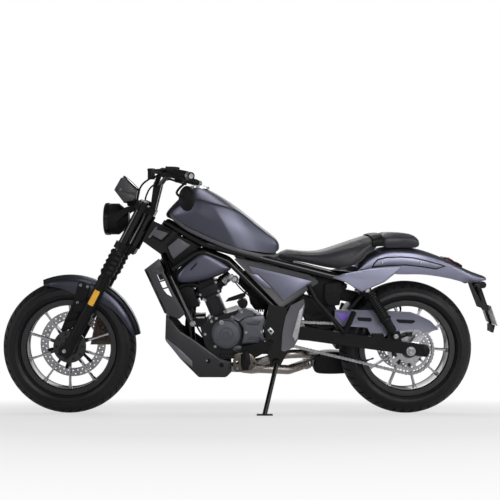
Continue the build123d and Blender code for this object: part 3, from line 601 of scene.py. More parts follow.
def sprayed(name, colour, rough=(0.3, 0.42), grain=1200.0, bump=0.00006, dust=0.015, vary=0.12, **sockets):
    """Paint, casting or plastic: cloudy tone, fine grain, a little dust on top."""
    tree, shader, place = new_finish(name, **sockets)
    fine = place_group(tree, "Fine grain", place, Grain_scale=grain, Rough_low=rough[0], Rough_high=rough[1])
    tone = blend_colour(tree, scaled(colour, 1 - vary), scaled(colour, 1 + vary), fine["Cloud"])
    feed(tree, shader["Base Color"], dusted(tree, place, tone, dust))
    feed(tree, shader["Roughness"], fine["Roughness"])
    relief(tree, shader, fine["Height"], 0.5, bump)


def brushed(name, colour, stretch, scale=240.0, bump=0.00005):
    """Bare metal with fine machining lines."""
    tree, shader, place = new_finish(name, Metallic=1.0)
    lines = place_group(tree, "Brushed lines", place, Scale=scale, Stretch=stretch)
    fine = place_group(tree, "Fine grain", place, Grain_scale=500.0, Cloud_scale=30.0)
    feed(tree, shader["Base Color"], blend_colour(tree, scaled(colour, 0.72), scaled(colour, 1.12),
        fine["Cloud"]))
    feed(tree, shader["Roughness"], lines["Roughness"])
    relief(tree, shader, lines["Height"], 0.4, bump)


def darken_above(name, low, high, colour):
    """Blend a finish to another colour between two heights above the floor."""
    tree = finish_named(name).node_tree
    base = tree.nodes["Principled BSDF"].inputs["Base Color"]
    tone = base.links[0].from_socket
    parts = node(tree, "ShaderNodeSeparateXYZ")
    feed(tree, parts.inputs[0], tree.nodes.new("ShaderNodeTexCoord").outputs["Object"])
    feed(tree, base, blend_colour(tree, tone, colour, map_range(tree, parts.outputs["Z"], low, high)))


def lens(name, colour, rough=0.12):
    """Ribbed lens: coloured plastic over fine prisms."""
    tree, shader, place = new_finish(name, Roughness=rough, Coat_Weight=1.0, Coat_Roughness=0.04)
    ribs = wave_tone(tree, place, "DIAGONAL", 110.0)
    feed(tree, shader["Base Color"], blend_colour(tree, scaled(colour, 0.72), scaled(colour, 1.15), ribs))
    relief(tree, shader, ribs, 0.5, 0.0003)


def build_finishes():
    """Every material of the machine."""
    c = colours()
    dull = {"Specular_IOR_Level": 0.14}
    cast = {"Specular_IOR_Level": 0.16}
    # name, colour, roughness from and to, grain, height of the grain, dust, variation of the tone, sockets
    # The second row is the body paint made lighter for the rear fender and side covers: painted light. The
    # third row is it made darker for the front fender: painted shade.
    for *row, sockets in (("body_paint", c.paint, (0.34, 0.42), 2600.0, 0.00003, 0.01, 0.06,
            {"Metallic": 0.92}), ("side_paint", scaled(c.paint, 1.9), (0.34, 0.42), 2600.0, 0.00003, 0.01, 0.06,
            {"Metallic": 0.92}), ("fender_paint", scaled(c.paint, 0.62), (0.32, 0.4), 2600.0, 0.00003, 0.01,
            0.06, {"Metallic": 0.9}), ("guard_grey", scaled(c.paint, 1.5), (0.4, 0.5), 1400.0, 0.0001, 0.02,
            0.1, {"Metallic": 0.3}), ("guard_violet", (0.20, 0.11, 0.62), (0.35, 0.45), 900.0, 0.00005, 0.05,
            0.06, {}), ("shroud_grey", c.shroud, (0.36, 0.48), 1500.0, 0.00012, 0.02, {}),
            ("shroud_pale", scaled(c.shroud, 3.6), (0.36, 0.46), 1500.0, 0.0001, 0.06, 0.06, {"Metallic": 0.3}),
            ("panel_grey", scaled(c.shroud, 2.2), (0.34, 0.46), 1500.0, 0.0001, 0.02, {}),
            ("belly_black", scaled(c.shroud, 0.5), (0.4, 0.52), 1500.0, 0.00012, 0.02, {}),
            ("frame_black", c.gloss_black, (0.16, 0.24), 900.0, 0.00002, 0.01, 0.15,
            {**dull, "Coat_Weight": 0.5, "Coat_Roughness": 0.06}), ("cast_black", c.cast_black, (0.30, 0.44),
            1100.0, 0.0002, 0.02, 0.2, dull), ("engine_black", scaled(c.cast_black, 1.8), (0.32, 0.46), 1000.0,
            0.0002, 0.03, 0.22, cast), ("muffler_black", scaled(c.cast_black, 1.2), (0.3, 0.42), 1000.0, 0.0001,
            0.02, 0.2, cast), ("caliper_black", scaled(c.cast_black, 1.2), (0.3, 0.4), 900.0, 0.0001, 0.02,
            0.15, {"Metallic": 0.4, "Coat_Weight": 0.3}), ("wheel_black", scaled(c.cast_black, 0.6),
            (0.26, 0.4), 1000.0, 0.00005, 0.03, 0.2, {"Coat_Weight": 0.7, "Coat_Roughness": 0.12}),
            ("caliper_bronze", (0.085, 0.062, 0.048), (0.3, 0.4), 900.0, 0.0001, 0.02, 0.15, {"Metallic": 0.6}),
            ("cover_grey", (0.115, 0.118, 0.135), (0.3, 0.42), 1200.0, 0.0001, 0.02, 0.12, {"Metallic": 0.7}),
            ("black_plastic", c.plastic, (0.38, 0.5), 1500.0, 0.00015, 0.02, dull),
            ("tyre_rubber", c.rubber, (0.36, 0.5), 1600.0, 0.0003, 0.03, 0.25, {"Specular_IOR_Level": 0.28}),
            ("gaiter_rubber", scaled(c.rubber, 0.9), (0.42, 0.55), 1400.0, 0.0002, 0.02, dull),
            ("trim_weave", (0.075, 0.075, 0.082), (0.4, 0.5), 700.0, 0.0003, 0.02, {}),
            ("plate_blank", (0.62, 0.62, 0.63), (0.3, 0.42), 900.0, 0.00004, 0.05, 0.04, {}),
            ("dial_dark", (0.008, 0.008, 0.009), (0.06, 0.1), 600.0, 0.00001, 0.05, 0.1, {"Coat_Weight": 1.0})):
        sprayed(*row, **sockets)
    # name, colour, stretch of the lines, their scale, their height
    for row in (("bare_steel", c.steel, (1.0, 1.0, 0.05)), ("chain_steel", scaled(c.steel, 0.9),
            (1.0, 1.0, 0.05)), ("disc_steel", scaled(c.steel, 1.05), (1.0, 0.02, 1.0), 190.0),
            ("machined_alloy", c.alloy, (1.0, 1.0, 0.03), 300.0), ("cast_alloy", scaled(c.alloy, 0.85),
            (1.0, 1.0, 0.6), 420.0, 0.0001), ("bronze_alloy", (0.17, 0.15, 0.13), (1.0, 1.0, 0.04), 260.0),
            ("exhaust_steel", c.exhaust, (0.05, 1.0, 1.0), 180.0), ("collector_steel", (0.44, 0.40, 0.375),
            (0.05, 1.0, 1.0), 180.0)):
        brushed(*row)
    darken_above("exhaust_steel", 0.22, 0.32, (0.035, 0.032, 0.032))
    darken_above("caliper_bronze", 0.44, 0.45, c.plastic)
    for row in (("amber_lens", c.amber), ("red_lens", c.red), ("lamp_lens", (0.55, 0.56, 0.58), 0.06)):
        lens(*row)
    tree, shader, place = new_finish("mirror_glass", Metallic=1.0, Roughness=0.03)
    haze = noise_tone(tree, place, 30.0)
    feed(tree, shader["Base Color"], blend_colour(tree, (0.78, 0.79, 0.8), (0.88, 0.88, 0.89), haze))
    tree, shader, place = new_finish("seat_vinyl", Sheen_Weight=0.15, Sheen_Roughness=0.5)
    hide = place_group(tree, "Hide grain", place)
    tone = blend_colour(tree, scaled(c.vinyl, 0.75), scaled(c.vinyl, 1.5), hide["Tone"])
    feed(tree, shader["Base Color"], dusted(tree, place, tone, 0.02, (0.3, 0.3, 0.3)))
    feed(tree, shader["Roughness"], hide["Roughness"])
    relief(tree, shader, hide["Height"], 0.55, 0.0006)
    tree, shader, place = new_finish("radiator_core", Roughness=0.5, Metallic=0.6)
    fins = wave_tone(tree, place, "Z", 160.0)
    feed(tree, shader["Base Color"], blend_colour(tree, (0.012, 0.012, 0.013), (0.07, 0.07, 0.075), fins))
    relief(tree, shader, fins, 0.8, 0.001)


# the CAD nodes that each finish goes on
NODE_FINISHES = {"frame_black": "main_frame frame_tubes pivot_plates fork_tubes side_stand",
    "cast_black": "swingarm rear_shocks engine_covers footrests triple_clamps fork_lowers handlebar",
    "engine_black": "crankcase cylinder", "radiator_core": "radiator", "shroud_grey": "lower_cowl",
    "body_paint": "fuel_tank rear_fender side_panels front_fender", "trim_weave": "tank_trim",
    "seat_vinyl": "seat pillion_pad", "red_lens": "tail_light", "exhaust_steel": "exhaust_pipe",
    "black_plastic": "plate_holder chain_guard headlight instrument bar_controls mirrors",
    "muffler_black": "muffler", "bare_steel": "chain rear_axle front_axle rear_sprocket",
    "caliper_black": "rear_brake", "gaiter_rubber": "fork_gaiters", "caliper_bronze": "front_brake",
    "wheel_black": "front_rim rear_rim", "tyre_rubber": "front_tyre rear_tyre",
    "disc_steel": "front_disc rear_disc",}


# ---------------------------------------------------------------- operators
class MOTORCYCLE_OT_finishes(bpy.types.Operator):
    """Build every material and put one on each CAD node"""
    bl_idname = "motorcycle.finishes"
    bl_label = "Materials on CAD nodes"

    def execute(self, context):
        build_finishes()
        for finish, names in NODE_FINISHES.items():
            for name in names.split():
                wear(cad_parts[name], finish)
        return {"FINISHED"}


# ---------------------------------------------------------------- tank and bodywork
# half sections of the tank, front to back: top, shoulder, crease, side, lower edge, underside
TANK_SECTIONS = (((428, 0, 899), (428, 30, 897), (430, 54, 892), (432, 59, 889), (434, 56, 884), (436, 36, 884),
    (436, 0, 884)), ((470, 0, 946), (470, 45, 942), (470, 82, 917), (472, 92, 895), (474, 90, 871),
    (476, 60, 868), (476, 0, 868)), ((518, 0, 992), (518, 54, 987), (520, 102, 947), (524, 117, 900),
    (530, 111, 845), (530, 84, 848), (530, 0, 850)), ((560, 0, 1021), (560, 60, 1015), (565, 116, 964),
    (580, 137, 900), (596, 127, 813), (596, 92, 826), (596, 0, 836)), ((584, 0, 1024), (586, 64, 1015),
    (605, 124, 953), (640, 146, 880), (673, 138, 778), (673, 114, 792), (673, 0, 815)),
    ((606, 0, 1018), (612, 66, 1008), (645, 130, 941), (692, 153, 868), (748, 146, 750), (748, 122, 764),
    (748, 0, 800)), ((673, 0, 986), (673, 68, 977), (704, 130, 931), (748, 149, 850), (802, 140, 737),
    (800, 118, 752), (800, 0, 780)), ((748, 0, 936), (748, 64, 928), (768, 121, 909), (802, 136, 830),
    (852, 125, 729), (850, 106, 744), (850, 0, 765)), ((825, 0, 873), (825, 60, 867), (838, 106, 844),
    (862, 118, 790), (892, 106, 724), (890, 92, 734), (890, 0, 750)), ((895, 0, 815), (895, 54, 811),
    (902, 94, 796), (914, 102, 765), (922, 94, 726), (920, 80, 734), (920, 0, 744)),
    ((940, 0, 781), (940, 52, 778), (943, 84, 769), (945, 87, 757), (945, 82, 744), (942, 62, 744),
    (942, 0, 746)),)


class MOTORCYCLE_OT_tank(bpy.types.Operator):
    """Tank with its crease, side fold and filler cap"""
    bl_idname = "motorcycle.tank"
    bl_label = "Fuel tank"

    def execute(self, context):
        tank = sections("tank_body", TANK_SECTIONS)
        for index, amount in ((2, 0.75), (4, 0.9)):
            crease(tank, amount, sum(seam_lines(TANK_SECTIONS, index), []))
        for side in (1, -1):
            crease(tank, 0.45, [mm(x, side * y, z) for x, y, z in TANK_SECTIONS[5][2:5]])
        subdivide(tank, 3)
        park(tank, "body_paint", replaces=["fuel_tank"], angle=50)
        top = aim(mm(586, 0, 1018), mm(592, 0, 1118))
        cap = turned("filler_cap", ((0, 6), (30, 6), (32.5, 4.5), (34, -4)), 40, top)
        ring = turned("cap_ring", ((36, -6), (36, 3.5), (43, 2.5), (44.5, -6)), 40, top)
        screws = []
        for number in range(5):
            turn = 2 * pi * number / 5
            screws.append(bolt("cap_bolt", top @ Vector((0.0395 * cos(turn), 0.0395 * sin(turn), 0.003)),
                top.to_3x3() @ Vector((0, 0, 1)), 0.005))
        park(join("filler_cap", [cap, ring, *screws]), "machined_alloy")
        return {"FINISHED"}


# ---------------------------------------------------------------- seat and pillion pad
def pad_half(x, top, low, wide):
    """Half section of a pad: crowned top, seam edge, full side, flat base."""
    tall = top - low
    return ((x, 0, top), (x, 0.5 * wide, top - 0.5), (x, 0.86 * wide, top - 0.10 * tall),
        (x, wide, top - 0.42 * tall), (x, 0.97 * wide, low + 0.12 * tall), (x, 0.9 * wide, low), (x, 0, low))


# x, top, low, half width
SEAT_SECTIONS = tuple(pad_half(*row) for row in ((922, 716, 704, 72), (940, 734, 703, 82), (960, 738, 701, 88),
    (1000, 732, 694, 99), (1081, 723, 678, 115), (1140, 731, 665, 132), (1200, 753, 657, 144),
    (1281, 780, 664, 149), (1322, 794, 728, 145), (1352, 803, 744, 139), (1374, 803, 758, 132)))
PAD_SECTIONS = tuple(pad_half(*row) for row in ((1383, 800, 754, 124), (1392, 811, 751, 130),
    (1430, 814, 750, 130), (1490, 812, 750, 121), (1534, 806, 749, 110), (1558, 788, 747, 96),
    (1566, 768, 746, 86)))


def puff(piece, cap):
    """Swells a closed cover by cloth pressure, no point further than the cap."""
    apply(piece, "SUBSURF", levels=1, render_levels=1)
    apply(piece, "REMESH", mode="VOXEL", voxel_size=0.0055)
    start = [vertex.co.copy() for vertex in piece.data.vertices]
    pick(piece)
    cloth = piece.modifiers.new("Cover", "CLOTH")
    cloth.settings.quality = 5
    cloth.settings.use_pressure = True
    cloth.settings.uniform_pressure_force = 4.0
    cloth.settings.effector_weights.gravity = 0.0
    for step in range(1, 21):
        bpy.context.scene.frame_set(step)
    bpy.ops.object.modifier_apply(modifier=cloth.name)
    bpy.context.scene.frame_set(1)
    for vertex, before in zip(piece.data.vertices, start):
        move = vertex.co - before
        if move.length > cap:
            vertex.co = before + move.normalized() * cap
    apply(piece, "SMOOTH", factor=0.5, iterations=6)
    subdivide(piece, 1)


def piping(name, cover, lines, width):
    """Rounded piping sewn on a cover along lines of points."""
    surface = BVHTree.FromPolygons([v.co for v in cover.data.vertices],
        [tuple(f.vertices) for f in cover.data.polygons])
    cords = []
    for line in lines:
        laid = [surface.find_nearest(point)[0] for point in line]
        cords.append(tube(name, laid, width, 2))
    return join(name, cords)


def seam_lines(rows, index):
    """The line through one point of every half section, on both sides."""
    lines = []
    for side in (1, -1):
        lines.append([mm(x, side * y, z) for x, y, z in (row[index] for row in rows)])
    return lines


class MOTORCYCLE_OT_seats(bpy.types.Operator):
    """Seat and pillion pad, swelled by cloth pressure, with piping and the strap between them"""
    bl_idname = "motorcycle.seats"
    bl_label = "Seat and pillion pad"

    def execute(self, context):
        for name, rows, node_name, cap in (("seat_cover", SEAT_SECTIONS, "seat", sizes().seat_swell),
                ("pillion_cover", PAD_SECTIONS, "pillion_pad", 0.75 * sizes().seat_swell)):
            cover = sections(name, rows)
            for index, amount in ((5, 0.7), (2, 0.25)):
                crease(cover, amount, sum(seam_lines(rows, index), []))
            apply(cover, "DISPLACE", strength=-0.6 * cap, mid_level=0.0)
            puff(cover, cap)
            seam = piping(name.replace("cover", "piping"), cover, seam_lines(rows[1:-1], 2), sizes().seam_width)
            if name == "seat_cover":
                across_seat = [mm(1262, y, z) for y, z in ((-146, 720), (-130, 764), (-70, 776), (0, 777),
                    (70, 776), (130, 764), (146, 720))]
                seam = join(seam.name, [seam, piping("seat_welt", cover, [across_seat], sizes().seam_width)])
            park(cover, "seat_vinyl", replaces=[node_name], angle=60)
            park(seam, "seat_vinyl", angle=60)
        strap = drape("seat_strap", [[mm(x, side * y * grow, z + lift) for side, y,
            z in ((-1, 128, 752), (-1, 137, 778), (-1, 122, 800), (-1, 70, 809), (1, 0, 810), (1, 70, 809),
            (1, 122, 800), (1, 137, 778), (1, 128, 752))] for x, grow, lift in ((1338, 1.05, -4),
            (1352, 1.045, 0), (1366, 1.02, 2), (1380, 1.0, 3), (1388, 0.985, 2))])
        apply(strap, "SOLIDIFY", thickness=0.004, offset=1.0)
        subdivide(strap, 2)
        park(strap, "black_plastic", angle=60)
        return {"FINISHED"}


# ---------------------------------------------------------------- tyres
def around(axle, r, y, turn):
    """Point at a radius and an angle in degrees round an axle, 0 behind it and 90 above it."""
    return Vector((axle.x + r * cos(radians(turn)), y, axle.z + r * sin(radians(turn))))


# across the crown: angle of the tread's row in degrees, share of depth along the row, share in a cross groove
TREAD_ROWS = (
    (0, 0, 0), (7, 0, 0), (7.9, 1, 0), (10.8, 1, 0), (11.7, 0, 0), (15, 0, 0),
    (16.5, 0, 1), (22, 0, 1), (28, 0, 1), (34, 0, 1), (40, 0, 1), (46, 0, 1),
    (50.5, 0, 0.9), (52.5, 0, 0), (56, 0, 0), (60, 0, 0))
# along the rim, within one pitch: place, whether it lies in the groove
GROOVE_COLUMNS = ((0.0, 0), (0.2, 0), (0.385, 0), (0.425, 1), (0.575, 1), (0.615, 0), (0.8, 0), (1.0, 0))


def tread_pitch(name, axle, tyre_r, crown_r, tyre_w, rim_w, pitch, slant):
    """One pitch of a tyre: crown with its grooves, side walls with ridges, beads and inner wall."""
    depth = sizes().tread_depth
    half = rim_w / 2
    left = []
    for turn, rib, groove in reversed(TREAD_ROWS):
        left.append((-turn, rib, groove))
    crown = left + [row for row in TREAD_ROWS if row[0] > 0]
    edge_r, edge_y = tyre_r - crown_r + crown_r * cos(radians(60)), crown_r * sin(radians(60))
    wall = ((edge_r - 0.004, edge_y + 0.0022), (edge_r - 0.009, tyre_w / 2 - 0.002), (0.241, tyre_w / 2),
        (0.2385, tyre_w / 2), (0.2378, tyre_w / 2 + 0.0008), (0.2362, tyre_w / 2 + 0.0008),
        (0.2355, tyre_w / 2 - 0.0004), (0.229, tyre_w / 2 - 0.003), (0.222, tyre_w / 2 - 0.0085),
        (0.2195, half + 0.004), (0.218, half + 0.0038), (0.2165, half - 0.001), (0.2135, half - 0.0053),
        (0.204, half - 0.0063))
    shift_middle = 0.5 * pitch
    rows = []
    profile = [(r, -y, 0, 0, -60.0) for r, y in reversed(wall)]
    for turn, rib, groove in crown:
        profile.append((tyre_r - crown_r + crown_r * cos(radians(turn)), crown_r * sin(radians(turn)), rib,
            groove, turn))
    profile += [(r, y, 0, 0, 60.0) for r, y in wall]
    profile += [(0.208, 0.6 * half, 0, 0, 60.0), (0.208, -0.6 * half, 0, 0, -60.0), (*profile[0][:4], -60.0)]
    for r, y, rib, groove, turn in profile:
        side = max(-1.0, min(1.0, turn / 12.0))
        lead = shift_middle * 0.5 * side + slant * max(0.0, abs(turn) - 15.0) / 45.0
        row = []
        for share, in_groove in GROOVE_COLUMNS:
            drop = depth * max(rib, groove * in_groove)
            normal = radians(turn) if abs(turn) < 60.0 else 0.0
            row.append(around(axle, r - drop * cos(normal), y - drop * sin(normal), share * pitch + lead))
        rows.append(row)
    return drape(name, rows)


def build_tyre(name, axle, body, node_name, tyre_r, crown_r, tyre_w, rim_w, pitches, slant):
    pitch = 360.0 / pitches
    first = tread_pitch(name, axle, tyre_r, crown_r, tyre_w, rim_w, pitch, slant)
    copies = [first]
    for number in range(1, pitches):
        turn = Matrix.Translation(axle) @ Matrix.Rotation(-radians(number * pitch), 4,
            "Y") @ Matrix.Translation(-axle)
        copies.append(copy_to(first, turn))
    tyre = join(name, copies)
    tidy_mesh(tyre, 0.00005)
    park(tyre, "tyre_rubber", body, replaces=[node_name], angle=38)


class MOTORCYCLE_OT_tyres(bpy.types.Operator):
    """Both tyres with their tread, and the valves"""
    bl_idname = "motorcycle.tyres"
    bl_label = "Tyres"

    def execute(self, context):
        build_tyre("front_tread", FRONT_AXLE, "front_wheel", "front_tyre", tyre_r=0.299, crown_r=0.060,
            tyre_w=0.124, rim_w=0.076, pitches=46, slant=6.5)
        build_tyre("rear_tread", REAR_AXLE, "rear_wheel", "rear_tyre", tyre_r=0.297, crown_r=0.070,
            tyre_w=0.140, rim_w=0.094, pitches=44, slant=3.0)
        for name, axle, turn, body in (("front_valve", FRONT_AXLE, -52.0, "front_wheel"),
                ("rear_valve", REAR_AXLE, 200.0, "rear_wheel")):
            start, end = around(axle, 0.187, -0.004, turn), around(axle, 0.150, -0.010, turn)
            stem = turned(name, ((4.8, -4), (4.8, 10), (3, 13), (3, 24), (3.8, 25), (3.8, 36), (0, 37)), 12,
                aim(start, end))
            park(stem, "black_plastic", body)
        return {"FINISHED"}


# ---------------------------------------------------------------- fenders and tail
# along the tail, in millimetres: (x, height) of its top and lower lines, (x, half width)
TAIL_TOP = ((1281, 652), (1304, 690), (1327, 712), (1378, 738), (1420, 747), (1474, 748), (1541, 744),
    (1590, 731), (1659, 705), (1696, 689), (1759, 657), (1796, 639), (1860, 616))
TAIL_LOW = ((1281, 644), (1340, 650), (1400, 642), (1440, 627), (1508, 634), (1579, 632), (1650, 620),
    (1717, 607), (1750, 594), (1800, 593), (1860, 603))
TAIL_WIDE = ((1280, 100), (1560, 104), (1700, 88), (1870, 60))
TAIL_STATIONS = (1284, 1304, 1327, 1352, 1378, 1420, 1474, 1541, 1600, 1659, 1696, 1740, 1759, 1796, 1830, 1858)


def tail_side(x):
    """Distance of the tail's side from the middle, both in metres."""
    return at(x * 1000, TAIL_WIDE) / 1000


def tail_rows():
    rows = []
    for x in TAIL_STATIONS:
        top, low, wide = (at(x, line) for line in (TAIL_TOP, TAIL_LOW, TAIL_WIDE))
        tall = top - low
        half = ((0.0, top + 3), (0.45 * wide, top + 1.5), (0.80 * wide, top - min(5, 0.12 * tall)),
            (0.955 * wide, top - min(16, 0.34 * tall)), (wide, top - min(34, 0.6 * tall)),
            (wide, top - 0.8 * tall), (0.985 * wide, low))
        rows.append([mm(x, -y, z) for y, z in reversed(half[1:])] + [mm(x, y, z) for y, z in half])
    return rows


def inset(outline, by):
    """Outline of (x, z) points moved inwards by a distance."""
    corners = [Vector(point) for point in outline]
    count = len(corners)
    area = sum(a.x * b.y - b.x * a.y for a, b in zip(corners, corners[1:] + corners[:1]))
    side = 1 if area > 0 else -1
    moved = []
    for index, corner in enumerate(corners):
        before = (corner - corners[index - 1]).normalized()
        after = (corners[(index + 1) % count] - corner).normalized()
        turned_in = [Vector((-way.y, way.x)) * side for way in (before, after)]
        middle = (turned_in[0] + turned_in[1]).normalized()
        moved.append(tuple(corner + middle * by / max(0.4, middle.dot(turned_in[0]))))
    return moved


def framed(name, outline, y0, y1, lip, step, rounding=1.0):
    """Slab whose outer face, towards the left, steps out (or in) inside a lip."""
    piece = slab(name, outline, y0, y1)
    edit(piece, "FACE")
    choose(piece, "FACE", lambda m, f: f.normal.y < -0.9)
    bpy.ops.mesh.inset(thickness=lip / 1000, depth=step / 1000)
    leave_edit()
    bevel(piece, rounding / 1000, 2, 20)
    return piece


STRIP_LINE = ((1340, 661), (1352, 682), (1369, 700), (1411, 709), (1474, 711), (1524, 707), (1579, 695),
    (1642, 678), (1673, 667), (1625, 653), (1558, 664), (1491, 671), (1420, 668))


class MOTORCYCLE_OT_tail(bpy.types.Operator):
    """Rear fender with its outlined strip, battery box and wheel guard"""
    bl_idname = "motorcycle.tail"
    bl_label = "Tail and rear fender"

    def execute(self, context):
        shell = drape("rear_fender_shell", tail_rows())
        face_up(shell)
        subdivide(shell, 2)
        apply(shell, "SOLIDIFY", thickness=0.0032, offset=-1.0)
        bevel(shell, 0.0006, 1, 60)
        # The rear fender wears the lighter copy of the body paint: painted light.
        park(shell, "side_paint", replaces=["rear_fender"], angle=40)
        groove = slab("strip_groove", STRIP_LINE, -1.3, 3.0, 0.5, 1)
        face = slab("strip_face", inset(STRIP_LINE, 5.0), -2.6, 3.0, 1.2, 2)
        # The strip's face wears the lighter copy of the body paint too: painted light.
        for piece, finish in ((groove, "black_plastic"), (face, "side_paint")):
            apply(piece, "TRIANGULATE")
            follow(piece, lambda x: -tail_side(x))
            park(both_sides(piece), finish)
        studs = []
        for x in (1388.5, 1556.5):
            spot = mm(x, 0, 685) - Vector((0, tail_side(x / 1000) + 0.0026, 0))
            studs.append(turned("strip_stud", ((0, 2.2), (3.5, 2.2), (6.8, 0.4), (6.8, -2)), 4,
                aim(spot, spot + Vector(TO_LEFT))))
        park(both_sides(join("strip_studs", studs)), "machined_alloy", angle=20)
        # battery box, its lower tray, and the guard ahead of the rear tyre
        box = slab("battery_box", ((1010, 679), (1181, 636), (1228, 598), (1222, 556), (1190, 512), (1130, 498),
            (1060, 560)), -84, 84, 6, 3)
        under = slab("battery_under", ((1000, 575), (1060, 530), (1180, 505), (1196, 470), (1190, 420),
            (1165, 392), (1068, 400), (1043, 450), (1010, 500)), -60, 60, 4, 3)
        under_face = framed("under_face", ((1043, 461), (1071, 463), (1085, 446), (1125, 459), (1162, 429),
            (1188, 392), (1125, 388), (1068, 409)), -70, -58, 4, -1.5)
        tray = slab("battery_tray", ((1180, 515), (1222, 560), (1296, 545), (1266, 500)), -30, 30, 3, 2)
        upper_box = framed("airbox_side", ((1135, 590), (1200, 606), (1238, 588), (1213, 547), (1203, 496),
            (1156, 490), (1132, 520)), -92, -84.5, 6, 3)
        seam = slab("airbox_seam", ((1136, 534), (1137, 540), (1216, 556), (1215, 550)), -95.4, -92, 0.6, 1)
        plug = turned("airbox_plug", ((0, 3), (7, 3), (9, 1), (11, 3.5), (13, 3.5), (14, 0)), 24,
            leftward(1222, -94, 578))
        side = both_sides(join("airbox_side", [upper_box, seam, plug]))
        park(join("battery_box", [box, tray, side, under, both_sides(under_face)]), "black_plastic")
        guard = []
        for turn in range(128, 181, 4):
            guard.append([around(REAR_AXLE, r, y, turn) for r, y in (
                (0.306, -0.071), (0.317, -0.070), (0.319, -0.062), (0.320, 0.0), (0.319, 0.062), (0.317, 0.070),
                (0.306, 0.071))])
        sheet = drape("wheel_guard", guard)
        apply(sheet, "SOLIDIFY", thickness=SHEET, offset=0.0)
        bevel(sheet, 0.0006, 1, 40)
        park(sheet, "black_plastic", angle=30)
        return {"FINISHED"}


class MOTORCYCLE_OT_tail_lamp(bpy.types.Operator):
    """Lamp in two segments, its base, blank plate and reflector"""
    bl_idname = "motorcycle.tail_lamp"
    bl_label = "Lamp and plate"

    def execute(self, context):
        segments = []
        for a, b in ((0.02, 0.42), (0.58, 0.98)):
            (x0, z0), (x1, z1) = ((1688 + share * 62, 697 - share * 34) for share in (a, b))
            outline = ((x0, z0), (x0 + 5, z0 + 8), (x1 + 3, z1 + 8), (x1, z1), (x1 - 3, z1 - 5),
                (x0 - 3, z0 - 5))
            segments.append(slab("lamp_segment", outline, -48, 48, 2.5, 3))
        lamp = join("tail_lamp", segments)
        park(lamp, "red_lens", replaces=["tail_light"], angle=40)
        frame_strip = slab("lamp_base", ((1682, 699), (1685, 704), (1756, 668), (1754, 658), (1720, 676)), -52,
            52, 2, 2)
        park(frame_strip, "black_plastic")
        plate = framed("number_plate", ((1872, 490), (1876, 490), (1906, 402), (1902, 402)), -74, 74, 0.4, 0.0)
        park(plate, "plate_blank")
        reflector = turned("rear_reflector", ((0, 6), (12, 5.5), (16, 4), (16.5, 0), (19, -1), (19, -4)), 32,
            aim(mm(1899, 0, 382), mm(1960, 0, 362)))
        reflector.data.transform(Matrix.Translation(mm(1899, 0, 382)) @ Matrix.Diagonal((1, 1.7, 0.8, 1))
            @ Matrix.Translation(-mm(1899, 0, 382)))
        park(reflector, "red_lens")
        return {"FINISHED"}


# round the front axle, in degrees from behind it: (angle, skirt depth in millimetres)
SKIRT = ((10, 8), (22, 22), (40, 34), (56, 46), (66, 58), (76, 62), (84, 56), (94, 36), (104, 18), (112, 4))


class MOTORCYCLE_OT_front_fender(bpy.types.Operator):
    """Front fender with its raised ridge, folded sides and flat stays"""
    bl_idname = "motorcycle.front_fender"
    bl_label = "Front fender"

    def execute(self, context):
        rows = []
        for turn in (10, 12, 16, 22, 30, 40, 50, 60, 70, 80, 88, 94, 100, 105, 109, 112):
            skirt = at(turn, SKIRT)
            narrow = at(turn, ((10, 0.62), (16, 0.86), (30, 1.0), (96, 1.0), (106, 0.86), (112, 0.55)))
            half = ((323.0, 0), (322.5, 20), (317, 26), (312, 44), (303, 60), (302 - 0.5 * skirt, 66.5),
                (299 - skirt, 66))
            row = [around(FRONT_AXLE, r / 1000, -narrow * y / 1000, turn) for r, y in reversed(half[1:])]
            row += [around(FRONT_AXLE, r / 1000, narrow * y / 1000, turn) for r, y in half]
            rows.append(row)
        shell = drape("front_fender_shell", rows)
        face_up(shell)
        # soft folds beside the ridge and above the skirt
        for across in (20, 60):
            for side in (1, -1):
                crease(shell, 0.35,
                    [p for row in rows for p in row if abs(1000 * side * p.y - across) < 0.42 * across])
        subdivide(shell, 2)
        apply(shell, "SOLIDIFY", thickness=SHEET, offset=-1.0)
        bevel(shell, 0.0006, 1, 60)
        # The front fender wears a darker copy of the body paint: painted shade.
        park(shell, "fender_paint", "fork", replaces=["front_fender"], angle=40)
        # flat stays from the fender down the front of each leg
        stay = framed("fender_stay", ((50, 592), (60, 598), (104, 588), (104, 566), (72, 478), (24, 392),
            (-20, 376), (-26, 384), (-8, 430), (26, 500)), -78, -72, 5, 1.2)
        tab = slab("fender_tab", ((50, 590), (60, 596), (104, 586), (100, 570), (52, 578)), -72.5, -62, 1, 1)
        park(both_sides(join("fender_stays", [stay, tab])), "cast_black", "fork")
        heads = both_sides(bolts("fender_bolts", ((62, -78.5, 583), (92, -78.5, 576), (48, -78.5, 505)),
            TO_LEFT, 0.010, 0.35, 12))
        park(heads, "bare_steel", "fork")
        return {"FINISHED"}


